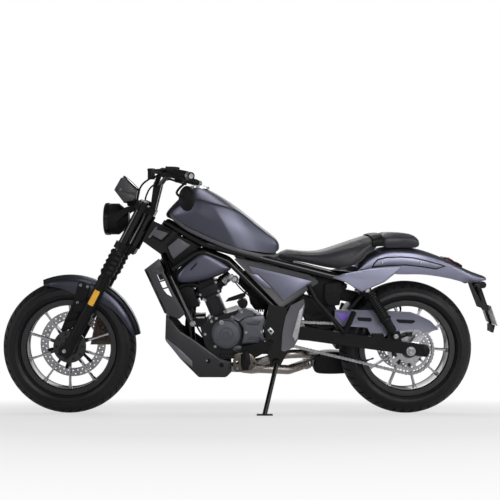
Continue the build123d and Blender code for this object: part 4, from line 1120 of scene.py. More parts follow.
# ---------------------------------------------------------------- side covers and guards
TRIANGLE = ((740, 700), (752, 706), (1064, 632), (1104, 606), (1104, 596), (957, 494), (936, 494))
TRIANGLE_FACE = ((800, 672), (1040, 614), (1078, 604), (953, 519), (908, 574), (845, 636), (818, 640))
TRIANGLE_NOTCH = ((806, 640), (842, 632), (903, 575), (873, 577))
PIVOT_COVER = ((985, 500), (1042, 528), (1046, 500), (1030, 430), (1016, 352), (997, 318), (958, 300),
    (944, 306), (948, 380), (962, 452))
PIVOT_STRIP = ((1041, 502), (1022, 478), (991, 368), (1004, 344), (1014, 358), (1029, 432))
STRUT_COVER = ((1162, 622), (1216, 639), (1332, 661), (1472, 675), (1450, 652), (1389, 603), (1290, 560),
    (1220, 602))
STRUT_FACE = ((1214, 618), (1250, 630), (1360, 652), (1448, 664), (1388, 610), (1292, 570), (1240, 602))
ENGINE_PANEL = ((484, 640), (588, 736), (622, 734), (730, 668), (732, 652), (630, 606), (508, 588), (486, 604))
COVER_BACK = ((482, 640), (560, 716), (606, 730), (716, 672), (706, 645), (520, 602), (488, 612))
AIRBOX = ((566, 694), (592, 702), (634, 696), (704, 642), (566, 644))
VENT = ((366, 800), (394, 846), (462, 818), (418, 770))
SHIELD = ((440, 762), (484, 806), (572, 768), (596, 752), (470, 668), (450, 705))


class MOTORCYCLE_OT_side_covers(bpy.types.Operator):
    """Covers along both sides: vents, engine cover, triangle, pivot and strut covers"""
    bl_idname = "motorcycle.side_covers"
    bl_label = "Side covers"

    def execute(self, context):
        # outer frame, its raised face and its notch
        dark = framed("side_cover_frames", TRIANGLE, -126, -119, 7, -2.5)
        park(both_sides(dark), "shroud_grey", replaces=["side_panels"])
        faces = [slab("triangle_face", TRIANGLE_FACE, -128, -122, 1.6, 3),
            slab("triangle_notch", TRIANGLE_NOTCH, -127, -122, 1.2, 2)]
        # The triangle's faces wear the lighter copy of the body paint: painted light.
        park(both_sides(join("side_cover_faces", faces)), "side_paint")
        # edge of the pivot cover, facets of the vent and the shield, edge of the vent
        facets = [slab("cover_facet", *row) for row in (
            (((1042, 526), (1046, 500), (1034, 440), (1030, 446), (1038, 500)), -141, -136, 0.5, 1),
            (((378, 803), (394, 829), (448, 812), (418, 782)), -79, -70, 2.5, 3),
            (((447, 752), (495, 792), (547, 759), (473, 698), (462, 716)), -89, -80, 3, 3),
            (((358, 793), (394, 842), (402, 838), (368, 790)), -77, -70, 1, 2))]
        facets.append(framed("pivot_cover", PIVOT_COVER, -139.5, -127.5, 7, -1.5, 0.8))
        park(both_sides(join("side_cover_facets", facets)), "panel_grey", angle=20)
        # vent, shield, what backs the engine cover, airbox
        backs = [slab("cover_back", *row) for row in ((VENT, -74, -31, 3, 3), (SHIELD, -84, -31, 3, 3),
            (COVER_BACK, -96, -70, 2, 2), (AIRBOX, -97, 97, 4, 3))]
        park(both_sides(join("side_cover_backs", backs)), "black_plastic")
        strip = both_sides(framed("pivot_strip", PIVOT_STRIP, -142, -138, 2.5, 1.2))
        park(strip, "machined_alloy")
        # strut cover: a flat face under a facet that leans in to the fender
        strut = slab("strut_cover", STRUT_COVER, -149, -143)
        edit(strut, "FACE")
        choose(strut, "FACE", lambda m, f: f.normal.y < -0.9)
        bpy.ops.mesh.inset(thickness=0.006, depth=0.0)
        leave_edit()
        for vertex in strut.data.vertices:
            if vertex.co.y < -0.1485:
                near = min(STRUT_FACE, key=lambda p: (mm(p[0], 0, p[1]) - Vector((vertex.co.x, 0,
                    vertex.co.z))).length)
                if (mm(near[0], 0, near[1]) - Vector((vertex.co.x, 0, vertex.co.z))).length < 0.022:
                    vertex.co.y = -0.1535
        bevel(strut, 0.0015, 2, 10)
        # The strut cover wears the lighter copy of the body paint: painted light.
        park(both_sides(strut), "side_paint", angle=24)
        # engine cover: crowned, with a soft ridge along its upper edge
        rings = []
        for grow, y in ((0.0, -98.5), (0.0, -106), (3.0, -113), (9.0, -119), (20.0, -123.5), (30.0, -125.0)):
            rings.append([mm(x, y, z) for x, z in inset(ENGINE_PANEL, grow)])
        cover = loft("engine_side_cover", rings)
        subdivide(cover, 2)
        slot = slab("cover_slot", ((546, 655), (574, 684), (580, 681), (552, 651)), -126.8, -121, 1, 2)
        park(both_sides(cover), "body_paint", angle=60)
        park(both_sides(slot), "black_plastic")
        return {"FINISHED"}


TRIM_LINE = ((456, 893), (482, 867), (530, 833), (573, 813), (625, 789), (673, 769), (725, 749), (774, 735),
    (840, 717), (905, 705), (936, 716))


class MOTORCYCLE_OT_tank_trim(bpy.types.Operator):
    """Woven trim strip along the tank's lower edge"""
    bl_idname = "motorcycle.tank_trim"
    bl_label = "Tank trim"

    def execute(self, context):
        rows = []
        for x, z in TRIM_LINE:
            wide = at(x, ((428, 56), (474, 91), (530, 113), (596, 130), (673, 141), (748, 149), (802, 143),
                (852, 128), (892, 109), (922, 97), (945, 86)))
            rows.append([mm(x, -y, z + lift) for y, lift in ((wide - 4, -9), (wide + 1.5, -8), (wide + 3, 0),
                (wide + 1.5, 8), (wide - 6, 10))])
        strip = drape("tank_trim_strip", rows)
        apply(strip, "SOLIDIFY", thickness=SHEET, offset=0.0)
        subdivide(strip, 2)
        park(both_sides(strip), "trim_weave", replaces=["tank_trim"], angle=50)
        return {"FINISHED"}


GUARD = ((1181, 474), (1330, 474), (1521, 463), (1559, 449), (1601, 428), (1637, 390), (1580, 375), (1542, 391),
    (1454, 384), (1412, 366), (1387, 350), (1352, 352), (1341, 362), (1324, 398), (1244, 403), (1181, 403))
GUARD_SLOTS = (((1278, 439), (1283, 444), (1340, 441), (1345, 430), (1338, 424), (1286, 427)),
    ((1450, 430), (1456, 435), (1530, 431), (1536, 424), (1520, 415), (1462, 418)))
GUARD_PATCH = ((1186, 462), (1248, 460), (1216, 424))


class MOTORCYCLE_OT_chain_guard(bpy.types.Operator):
    """Chain guard with its two slots, rim and plain coloured triangle"""
    bl_idname = "motorcycle.chain_guard"
    bl_label = "Chain guard"

    def execute(self, context):
        guard = framed("chain_guard_plate", GUARD, -98.6, -95.4, 2.4, -0.8, 0.5)
        rim = slab("chain_guard_rim", ((1181, 474), (1330, 474), (1521, 463), (1559, 449), (1601, 428),
            (1637, 390), (1630, 390), (1597, 424), (1556, 444), (1520, 458), (1330, 469), (1181, 469)), -100,
            -70, 1, 2)
        plate = cut(join("chain_guard_plate", [guard, rim]), [slab("slot", line, -110, -90)
            for line in GUARD_SLOTS])
        park(plate, "guard_grey", replaces=["chain_guard"])
        liner = slab("guard_liner", ((1272, 448), (1540, 440), (1540, 412), (1272, 420)), -94.4, -93.4, 0.3, 1)
        park(liner, "black_plastic")
        park(slab("guard_patch", GUARD_PATCH, -99.4, -97, 0.4, 1), "guard_violet")
        park(bolts("guard_bolts", ((1368, -98.6, 365), (1192, -98.6, 414)), TO_LEFT, 0.013, 0.3, 12),
            "bare_steel")
        return {"FINISHED"}


# ---------------------------------------------------------------- chain, shocks and wheels
PINION = Vector((0.835, 0.0, 0.392))
PINION_R, WHEEL_R = 0.036, 0.104


def chain_pins():
    """Pin places in order round both sprockets, evenly spaced, an even number of them."""
    run = REAR_AXLE - PINION
    reach, heading = hypot(run.x, run.z), atan2(run.z, run.x)
    opening = asin((WHEEL_R - PINION_R) / reach)
    up, down = heading + pi / 2 + opening, heading - pi / 2 - opening
    straight = (reach ** 2 - (WHEEL_R - PINION_R) ** 2) ** 0.5
    wheel_arc, pinion_arc = WHEEL_R * (up - down), PINION_R * (2 * pi - (up - down))
    whole = 2 * straight + wheel_arc + pinion_arc
    count = 2 * round(whole / (2 * sizes().link_pitch))

    def rim_point(centre, r, turn):
        return Vector((centre.x + r * cos(turn), CHAIN_Y, centre.z + r * sin(turn)))

    pins = []
    for number in range(count):
        s = whole * number / count
        if s < straight:
            pins.append(rim_point(PINION, PINION_R, up).lerp(rim_point(REAR_AXLE, WHEEL_R, up), s / straight))
        elif s < straight + wheel_arc:
            pins.append(rim_point(REAR_AXLE, WHEEL_R, up - (s - straight) / WHEEL_R))
        elif s < 2 * straight + wheel_arc:
            share = (s - straight - wheel_arc) / straight
            pins.append(rim_point(REAR_AXLE, WHEEL_R, down).lerp(rim_point(PINION, PINION_R, down), share))
        else:
            pins.append(rim_point(PINION, PINION_R, down - (s - 2 * straight - wheel_arc) / PINION_R))
    return pins


def link_plate(name, pitch, y0, y1, tall):
    """Waisted link plate, its first pin at the origin and the next along X."""
    outline = []
    for middle, first in ((0, 90), (1, -90)):
        for turn in range(first, first + 181, 45):
            outline.append((1000 * pitch * middle + tall * cos(radians(turn)), tall * sin(radians(turn))))
        outline.append((500 * pitch, (middle - 0.5) * 1.32 * tall))
    plate = slab(name, outline, y0, y1)
    bevel(plate, 0.0004, 1, 60)
    return plate


class MOTORCYCLE_OT_chain(bpy.types.Operator):
    """Roller chain: waisted plates, rollers and riveted pins, link by link"""
    bl_idname = "motorcycle.chain"
    bl_label = "Drive chain"

    def execute(self, context):
        pins = chain_pins()
        pitch = (pins[1] - pins[0]).length
        inner = join("inner_link", [link_plate("plate", pitch, y, y + 1.7, 6.9) for y in (-6.2, 4.5)])
        outer = join("outer_link", [link_plate("plate", pitch, y, y + 1.7, 6.6) for y in (-8.4, 6.7)])
        roller = rod("roller", 5, 4.4, 12, ACROSS)
        pin = turned("pin", ((0, -9.4), (2, -9.3), (2.6, -8.6), (2.6, 8.6), (2, 9.3), (0, 9.4)), 10, ACROSS)
        joint = join("chain_joint", [roller, pin])
        links, joints = [], []
        for number, spot in enumerate(pins):
            after = pins[(number + 1) % len(pins)]
            turn = Matrix.Rotation(-atan2(after.z - spot.z, after.x - spot.x), 4, "Y")
            place = Matrix.Translation(spot) @ turn
            links.append(copy_to(outer if number % 2 else inner, place))
            joints.append(copy_to(joint, place))
        for pattern in (inner, outer, joint):
            bpy.data.objects.remove(pattern)
        park(join("chain_links", links), "chain_steel", replaces=["chain"], angle=30)
        park(join("chain_pins", joints), "bare_steel", angle=30)
        return {"FINISHED"}


class MOTORCYCLE_OT_shocks(bpy.types.Operator):
    """Rear shocks with their coil springs"""
    bl_idname = "motorcycle.shocks"
    bl_label = "Rear shocks"

    def execute(self, context):
        top, foot = mm(1317, -132.3, 567), mm(1441, -132.3, 366)
        place = aim(top, foot)
        reach = 1000 * (foot - top).length
        wire = sizes().spring_wire
        turns, per_turn = 13, 10
        helix = []
        for step in range(turns * per_turn + 1):
            turn = 2 * pi * step / per_turn
            helix.append(place @ Vector((0.0212 * cos(turn), 0.0212 * sin(turn),
                0.024 + 0.118 * step / (turns * per_turn))))
        spring = tube("shock_spring", helix, wire, 2, 3, 3)
        body = turned("shock_body", (
            (0, 12), (17, 12), (24.5, 15), (25.5, 19), (24.5, 22.5), (12, 23.5), (12, 142),
            (24.5, 143), (26.2, 146), (26.2, 153), (23.5, 156), (21.5, 160), (21.5, 166),
            (19.8, 168), (19.8, 205), (18.2, 212), (9.5, 216), (9.5, reach - 12),
            (0, reach - 12)), 32, place)
        eyes = []
        for spot in (top, foot):
            across = Matrix.Translation(spot) @ ACROSS
            eyes.append(turned("shock_eye", both_ways(((8.5, -10.5), (13.8, -10.5), (15, -9))), 32, across,
                closed=True))
        frame_part = join("shock_body", [body, *eyes])
        park(both_sides(spring), "frame_black", replaces=["rear_shocks"], angle=60)
        park(both_sides(frame_part), "cast_black", replaces=["rear_shocks"])
        caps = bolts("shock_bolts", ((1317, -142, 567), (1441, -142, 366)), TO_LEFT, 0.017, 0.42, 6)
        park(both_sides(caps), "bare_steel")
        return {"FINISHED"}


def spoke_sections(hub_r, root, tip):
    """A spoke's half outline along its length in millimetres: (radius, half width, half depth)."""
    return ((hub_r - 4, 8.5, root), (hub_r + 10, 6.8, root), (90, 5, 0.92 * root), (130, 4, 1.05 * tip),
        (165, 4.2, tip), (182, 6, tip), (190, 10.5, tip))


def bar_section(turn, r, w, low, high):
    """Corners of a radial bar's section, w to both sides of its middle and from low to high."""
    return [turn @ mm(*p) for p in ((r, -w, low), (r, w, low), (r, w, high), (r, -w, high))]


def build_wheel(name, axle, body, replaces, first, half, hub_r, hub_left, hub_right, flange_r, flange_y, deep):
    """Cast wheel, measured in millimetres, with its first spoke at an angle in degrees."""
    outward = Matrix.Translation(axle) @ ACROSS
    barrel = turned(name, both_ways(((188.5, 16 - half), (186.5, 9 - half), (190.5, 1 - half), (206.5, -half),
        (212.2, -half), (213, 1.2 - half), (213, 4.8 - half), (203, 6.2 - half), (199, 20 - half))), 120,
        outward, closed=True)
    hub = turned("hub", ((9.2, -hub_right), (hub_r - 10, -hub_right), (hub_r - 6, 3 - hub_right),
        (hub_r - 6, -16), (hub_r, -12), (hub_r, flange_y - 6), (flange_r - 2, flange_y - 4.5),
        (flange_r, flange_y - 2), (flange_r, flange_y + 2), (flange_r - 2, flange_y + 4.5),
        (hub_r + 2, flange_y + 6), (hub_r - 2, flange_y + 12), (hub_r - 8, hub_left - 4),
        (hub_r - 11, hub_left), (9.2, hub_left)), 48, outward, closed=True)
    spokes, faces = [], []
    for number in range(10):
        turn = outward @ Matrix.Rotation(radians(first + 36 * number), 4, "Z")
        outline = spoke_sections(hub_r, deep / 2, 0.8 * deep / 2)
        spokes.append(loft("spoke", [[turn @ mm(*p) for p in (
            (r, -w, 2 - d), (r, 1.8 - w, -d), (r, w - 1.8, -d), (r, w, 2 - d), (r, w, d - 2), (r, w - 1.8, d),
            (r, 1.8 - w, d), (r, -w, d - 2))] for r, w, d in outline]))
        for side in (-1, 1):
            faces.append(loft("spoke_face", [bar_section(turn, r, 0.78 * w, side * (d - 1), side * (d + 0.6))
                for r, w, d in outline[2:]]))
    park(join(name, [barrel, hub, *spokes]), "wheel_black", body, replaces=replaces, angle=34)
    park(join(name + "_faces", faces), "machined_alloy", body, angle=30)
    studs = []
    for number in range(10):
        turn = radians(first + 18 + 36 * number)
        spot = axle + mm(0.78 * flange_r * cos(turn), -flange_y - 4.5, 0.78 * flange_r * sin(turn))
        studs.append(bolt("hub_stud", spot, TO_LEFT, 0.009, 0.3, 6))
    park(join(name + "_studs", studs), "cast_black", body)


def drilled_disc(name, axle, body, node_name, y, outer, inner, rows, arms):
    """Brake disc in millimetres: drilled ring on a carrier of arms, with bobbins where they meet."""
    outward = Matrix.Translation(axle + mm(0, y, 0)) @ ACROSS
    half, chamfer = 2.25, 0.4
    ring = turned(name, both_ways((
        (inner, chamfer - half), (inner + chamfer, -half), (outer - chamfer, -half), (outer, chamfer - half))),
        96, outward, closed=True)
    holes = []
    for number in range(rows * 12):
        turn = 2 * pi * number / (rows * 12)
        r = inner + (outer - inner) * (0.30, 0.70)[number % 2]
        holes.append(rod("hole", 3.2, 4, 8, Matrix.Translation(axle + mm(r * cos(turn), y, r * sin(turn)))
            @ ACROSS))
    cut(ring, [join("holes", holes)])
    parts = [turned("carrier", ((28, -half), (52, -half), (52, half), (28, half)), 48, outward, closed=True)]
    for number in range(arms):
        turn = outward @ Matrix.Rotation(2 * pi * (number + 0.25) / arms, 4, "Z")
        parts.append(loft("arm", [bar_section(turn, r, w, -half, half) for r, w in (
            (46, 12), (0.5 * (50 + inner), 6), (inner + 3, 8))]))
        parts.append(turned("bobbin", both_ways(((0, -4.2), (5, -4.2), (6.5, -3))), 12,
            turn @ Matrix.Translation(mm(inner + 1, 0, 0))))
    park(ring, "disc_steel", body, replaces=[node_name])
    park(join(name + "_carrier", parts), "cast_black", body)


class MOTORCYCLE_OT_wheels(bpy.types.Operator):
    """Cast wheels with machined spoke faces, and drilled brake discs"""
    bl_idname = "motorcycle.wheels"
    bl_label = "Wheels and discs"

    def execute(self, context):
        build_wheel("front_wheel_cast", FRONT_AXLE, "front_wheel", ["front_rim"], -90.0, half=38, hub_r=38,
            hub_left=62, hub_right=63.1, flange_r=74, flange_y=12, deep=26)
        build_wheel("rear_wheel_cast", REAR_AXLE, "rear_wheel", ["rear_rim"], -4.5, half=47, hub_r=48,
            hub_left=82.4, hub_right=73.1, flange_r=66, flange_y=14, deep=32)
        drilled_disc("front_disc_ring", FRONT_AXLE, "front_wheel", "front_disc", y=66, outer=150, inner=112,
            rows=6, arms=6)
        drilled_disc("rear_disc_ring", REAR_AXLE, "rear_wheel", "rear_disc", y=76, outer=115, inner=84, rows=5,
            arms=5)
        return {"FINISHED"}


# ---------------------------------------------------------------- engine
BORE = Matrix.Translation(mm(676, 0, 436)) @ Matrix.Rotation(radians(-22.6), 4, "Y")
SPROCKET_COVER = ((764, 424), (790, 446), (868, 456), (877, 432), (867, 404), (867, 372), (874, 336),
    (772, 330), (780, 360), (780, 396))
COVER_SLOTS = (((788, 424), (798, 412), (842, 412), (854, 430)),
    ((794, 349), (804, 361), (848, 361), (858, 346)))
COVER_BARS = (((800, 418), (800, 415), (842, 416), (842, 420)), ((802, 356), (802, 353), (850, 352),
    (850, 355)))
CASE_HUMP = ((702, 432), (742, 452), (778, 486), (790, 482), (820, 470), (830, 448), (780, 440), (762, 426),
    (742, 436), (728, 428))


def rounded_box(name, x0, x1, y0, y1, z0, z1, rounding, segments=3):
    return slab(name, ((x0, z0), (x1, z0), (x1, z1), (x0, z1)), y0, y1, rounding, segments)


class MOTORCYCLE_OT_cylinder(bpy.types.Operator):
    """Cylinder barrel with its sunk panels, ribbed head, cam cover, throttle body and plug lead"""
    bl_idname = "motorcycle.cylinder"
    bl_label = "Cylinder and head"

    def execute(self, context):
        barrel = slab("barrel", ((-34.5, 6), (34.5, 6), (34.5, 105), (-34.5, 105)), -56, 56, 2, 2)
        for side in (-1, 1):
            edit(barrel, "FACE")
            choose(barrel, "FACE", lambda m, f: f.normal.y * side > 0.9 and f.calc_area() > 0.003)
            bpy.ops.mesh.inset(thickness=0.009, depth=0.0)
            bpy.ops.mesh.inset(thickness=0.002, depth=-0.004)
            leave_edit()
        flange = rounded_box("flange", -42, 42, -60, 60, -4, 8, 2, 2)
        gasket = rounded_box("gasket", -39, 42, -60, 60, 103, 108, 1, 1)
        head = rounded_box("head", -43, 48, -66, 66, 107, 156, 9, 4)
        cam = slab("cam_cover", ((-42, 152), (46, 152), (44, 166), (30, 180), (-26, 182), (-41, 172)), -62, 62,
            7, 4)
        parts = [barrel, flange, gasket, head, cam]
        for shift in (0, 14, 28, 42):
            parts.append(slab("rib", ((-38, 111 + shift), (44, 119 + shift), (44, 124 + shift),
                (-38, 116 + shift)), -69, 69, 1.6, 2))
        for x in (-40, 42):
            for y in (-40, 40):
                parts.append(turned("head_boss", ((0, 160.5), (7.5, 160.5), (9, 159), (9, 100), (0, 100)), 16,
                    Matrix.Translation(mm(x, y, 0))))
        engine_top = join("cylinder_and_head", parts)
        engine_top.data.transform(BORE)
        park(engine_top, "engine_black", replaces=["cylinder"], angle=34)
        heads = bolts("head_bolts", ((-40, -67, 128), (44, -67, 152), (40, -67, 112), (-36, -61, 104),
            (-30, -56.6, 96), (30, -56.6, 96), (-30, -56.6, 16), (30, -56.6, 16)), TO_LEFT, 0.009, 0.4, 12)
        heads = both_sides(heads)
        heads.data.transform(BORE)
        park(heads, "bare_steel")
        # throttle body and its rubber, from the back of the head to the airbox
        start, end = BORE @ mm(46, -8, 135), mm(744, -8, 640)
        rubber = turned("intake_rubber", ((0, -6), (22, -6), (26, 0), (26, 6), (22, 9), (22, 18), (25, 20),
            (25, 26), (0, 26)), 32, aim(start, end))
        park(rubber, "gaiter_rubber")
        body = turned("throttle_body", ((0, 24), (23.5, 24), (25.5, 27), (25.5, 34), (23, 37), (23, 60),
            (26.2, 63), (26.2, 74), (0, 74)), 32, aim(start, end))
        drum = turned("throttle_drum", ((0, 20), (10.5, 20), (12, 18), (12, 13), (17, 11), (17, 2), (14, 0),
            (0, 0)), 28, leftward(742, -30, 606))
        sensor = slab("throttle_sensor", ((708, 618), (732, 630), (742, 616), (720, 602)), -44, -20, 3, 2)
        rail = turned("fuel_rail", ((0, 0), (7, 1), (7, 30), (5.5, 32), (5.5, 48), (0, 49)), 20,
            aim(mm(697, -26, 584), mm(716, -26, 626)))
        park(join("throttle_body", [body, drum, sensor, rail]), "cast_alloy")
        lead = tube("plug_lead", [BORE @ mm(10, -30, 170), BORE @ mm(16, -44, 182), mm(655, -52, 640),
            mm(672, -60, 690)], sizes().cable, 3)
        drain = tube("breather_hose", [mm(756, -24, 500), mm(772, -40, 520), mm(800, -46, 560),
            mm(812, -40, 610), mm(800, -30, 640)], 0.010, 3)
        wires = tube("engine_wires", [mm(560, -60, 470), mm(566, -68, 440), mm(574, -72, 400),
            mm(592, -76, 372), mm(604, -74, 350)], 0.008, 3)
        park(join("engine_hoses", [lead, drain, wires]), "gaiter_rubber", angle=60)
        return {"FINISHED"}


def disc_cover(name, x, z, side, base, steps):
    """Round engine cover built up from rings of (radius, height) in millimetres, facing one side."""
    return turned(name, steps, 72, aim(mm(x, side * base, z), mm(x, side * (base + 10), z)))


class MOTORCYCLE_OT_engine_covers(bpy.types.Operator):
    """Generator, sprocket and clutch covers with their bolts"""
    bl_idname = "motorcycle.engine_covers"
    bl_label = "Engine covers"

    def execute(self, context):
        rings = ((0, 22), (3.2, 22), (4.4, 20), (9, 20), (10, 22.4), (13.4, 22.4), (14.6, 20.6), (24, 20),
            (25.5, 21.6), (28.5, 21.6), (30, 19.8), (50, 18.6), (53, 18.2), (54.5, 20.4), (58, 20.4),
            (61, 17.5), (62.5, 9), (65.5, 7.5), (66, 0))
        generator = disc_cover("generator_cover", 706, 371, -1, 92, rings)
        groove = tube("generator_line", [mm(646, -109.5, 336), mm(668, -110.6, 345), mm(684, -110.8, 353),
            mm(698, -111.2, 350.5), mm(712, -111.4, 353), mm(727, -111.2, 363)], 0.0036, 2)
        lug = slab("generator_lug", ((718, 430), (722, 450), (734, 454), (742, 444), (738, 424)), -106, -92,
            2.5, 3)
        hump = framed("case_hump", CASE_HUMP, -103, -90, 3, -1.2)
        sump = slab("case_sump", ((742, 318), (790, 314), (800, 300), (760, 286), (730, 300)), -98, -88, 2, 2)
        covers = join("generator_cover", [generator, groove, lug, hump, sump])
        park(covers, "cover_grey", replaces=["engine_covers"])
        sprocket = slab("sprocket_cover", SPROCKET_COVER, -116, -99.5, 4, 3)
        cut(sprocket, [slab("slot", outline, -130, -108, 1, 1) for outline in COVER_SLOTS])
        bars = join("cover_bars", [slab("bar", outline, -112, -106, 0.8, 1) for outline in COVER_BARS])
        park(join("sprocket_cover", [sprocket, bars]), "cover_grey")
        clutch = disc_cover("clutch_cover", 716, 366, 1, 92, (
            (0, 20), (14, 20), (16, 23.5), (20, 23.5), (22, 20.5), (44, 21.5), (48, 26), (60, 25),
            (66, 16), (67, 8), (70, 6.5), (70, 0)))
        park(clutch, "cover_grey", replaces=["engine_covers"])
        filler = turned("filler_bolt", ((0, 4.2), (4, 4.2), (4.8, 7), (9.5, 7), (11, 5.5), (11, -4)), 28,
            leftward(684, -108, 424))
        small = bolts("case_bolts", ((612, -93, 368), (656, -93, 314), (661, -93, 438), (737, -91, 485),
            (757, -93, 312), (791, -116, 380), (860, -116, 382), (825, -90, 312), (640, -93, 424),
            (772, -104, 468), (818, -92, 452)), TO_LEFT, 0.0095, 0.4, 12)
        turns = [2 * pi * number / 8 + 0.2 for number in range(8)]
        right = [(716 + 74 * cos(turn), 93, 366 + 74 * sin(turn)) for turn in turns]
        park(join("case_bolts", [filler, small]), "bare_steel")
        park(bolts("clutch_bolts", right, (0, 1, 0), 0.0095, 0.4, 12), "bare_steel")
        # starter motor, wiring block and stays behind the barrel
        starter = turned("starter", ((0, 0), (19, 1), (21, 4), (21, 20), (22.5, 22), (22.5, 28), (21, 30),
            (21, 84), (0, 86)), 32, aim(mm(778, -74, 500), mm(778, 20, 500)))
        park(starter, "cast_black")
        block = slab("wiring_block", ((772, 640), (800, 640), (872, 560), (908, 500), (884, 468), (834, 466),
            (812, 496), (802, 540), (778, 562), (758, 592)), -34, 30, 6, 3)
        face = framed("wiring_face", ((812, 600), (830, 600), (868, 556), (852, 520), (822, 522), (806, 560)),
            -42, -32, 4, -2)
        stay = framed("starter_stay", ((700, 506), (714, 524), (770, 544), (792, 548), (790, 530), (744, 514)),
            -62, -52, 3, -1.5)
        hooks = []
        for x, z in ((790, 610), (836, 560), (870, 510)):
            hooks.append(turned("wiring_boss", ((0, 4), (5, 4), (6.5, 1), (6.5, -6)), 16, leftward(x, -38, z)))
        for shift in (0, 9, 18):
            hooks.append(tube("wiring", [mm(742 + shift, -46, 596), mm(770 + shift, -56, 560 + shift),
                mm(800 + shift, -58, 540), mm(836 + shift, -56, 500), mm(850 + shift, -46, 462)], 0.006, 2))
        park(join("wiring_block", [block, face, stay, *hooks]), "black_plastic", angle=40)
        mount = framed("front_mount", ((548, 402), (542, 432), (556, 440), (606, 438), (606, 404)), -97, -84, 3,
            -1)
        park(both_sides(mount), "cast_black")
        park(both_sides(bolts("mount_bolts", ((558, -98, 416),), TO_LEFT, 0.021, 0.4, 6)), "bare_steel")
        return {"FINISHED"}


SHROUD = ((348, 654), (413, 704), (430, 650), (466, 572), (526, 462), (500, 440), (436, 466), (392, 560))
LOUVRES = (((404, 632), (424, 637), (434, 612), (415, 606)), ((417, 600), (438, 606), (448, 580), (429, 575)),
    ((431, 569), (452, 575), (470, 536), (448, 548)))
BELLY = ((440, 460), (500, 386), (560, 348), (680, 262), (728, 250), (729, 202), (704, 179), (584, 179),
    (502, 261), (436, 344))
BELLY_HOLLOW = ((442, 480), (446, 347), (507, 266), (587, 185), (700, 185), (760, 200), (780, 480))


class MOTORCYCLE_OT_lower_bodywork(bpy.types.Operator):
    """Radiator with its louvred shrouds, and the belly pan"""
    bl_idname = "motorcycle.lower_bodywork"
    bl_label = "Shrouds and belly pan"

    def execute(self, context):
        shroud = slab("radiator_shroud", SHROUD, -131, -127.5, 1.2, 2)
        lip = slab("shroud_lip", ((348, 654), (392, 560), (436, 466), (448, 470), (406, 560), (362, 650)), -131,
            -103, 2, 2)
        top = slab("shroud_top", ((348, 654), (413, 704), (418, 690), (360, 646)), -131, -103, 2, 2)
        shrouds = both_sides(join("radiator_shrouds", [shroud, lip, top]))
        # the right side's louvres sit lower and further forward, so that light shows through both
        cut(shrouds, [slab("slot", line, -140, -126, 0, 0) for line in LOUVRES]
            + [slab("slot", [(x - 22, z - 21) for x, z in line], 126, 140, 0, 0) for line in LOUVRES])
        park(shrouds, "shroud_grey", replaces=["lower_cowl"])
        rim = both_sides(framed("shroud_panel", ((424, 676), (436, 650), (404, 640), (376, 652)), -133, -129, 4,
            -1.2))
        park(rim, "shroud_grey")
        belly = slab("belly_pan", BELLY, -100, 100, 7, 4)
        cut(belly, [slab("hollow", BELLY_HOLLOW, -96, 96, 4, 2)])
        park(belly, "belly_black", replaces=["lower_cowl"])
        line = slab("belly_line", ((500, 378), (562, 341), (682, 254), (730, 243), (730, 240), (680, 251),
            (561, 338), (500, 375)), -101, -99, 0.4, 1)
        strip = slab("belly_strip", ((440, 352), (502, 303), (556, 251), (556, 226), (502, 264), (440, 340)),
            -102, -99, 1, 2)
        park(both_sides(join("belly_lines", [line, strip])), "shroud_pale")
        caps = both_sides(bolts("belly_bolts", ((626, -100, 252), (684, -100, 234)), TO_LEFT, 0.016, 0.25, 16))
        park(caps, "cast_black")
        park(both_sides(bolts("belly_studs", ((620, -103, 254),), TO_LEFT, 0.007, 0.3, 12)), "bare_steel")
        core = slab("radiator_core", ((401, 688), (408, 692), (513, 471), (506, 468)), -84, 84, 1, 1)
        park(core, "radiator_core", replaces=["radiator"])
        tanks = [slab("radiator_fan", ((412, 690), (452, 690), (556, 566), (588, 486), (517, 471)), -60, 60, 5,
            3)]
        for side in (-1, 1):
            tanks.append(slab("radiator_tank", ((400, 689), (409, 694), (515, 470), (506, 465)),
                *sorted((side * 82, side * 99)), 2, 3))
            tanks.append(tube("coolant_hose", [mm(*p) for p in ((470, side * 66, 560), (520, side * 66, 590),
                (572, side * 56, 584), (640, side * 36, 540))], 0.024, 5))
        park(join("radiator_tanks", tanks), "black_plastic", angle=50)
        return {"FINISHED"}


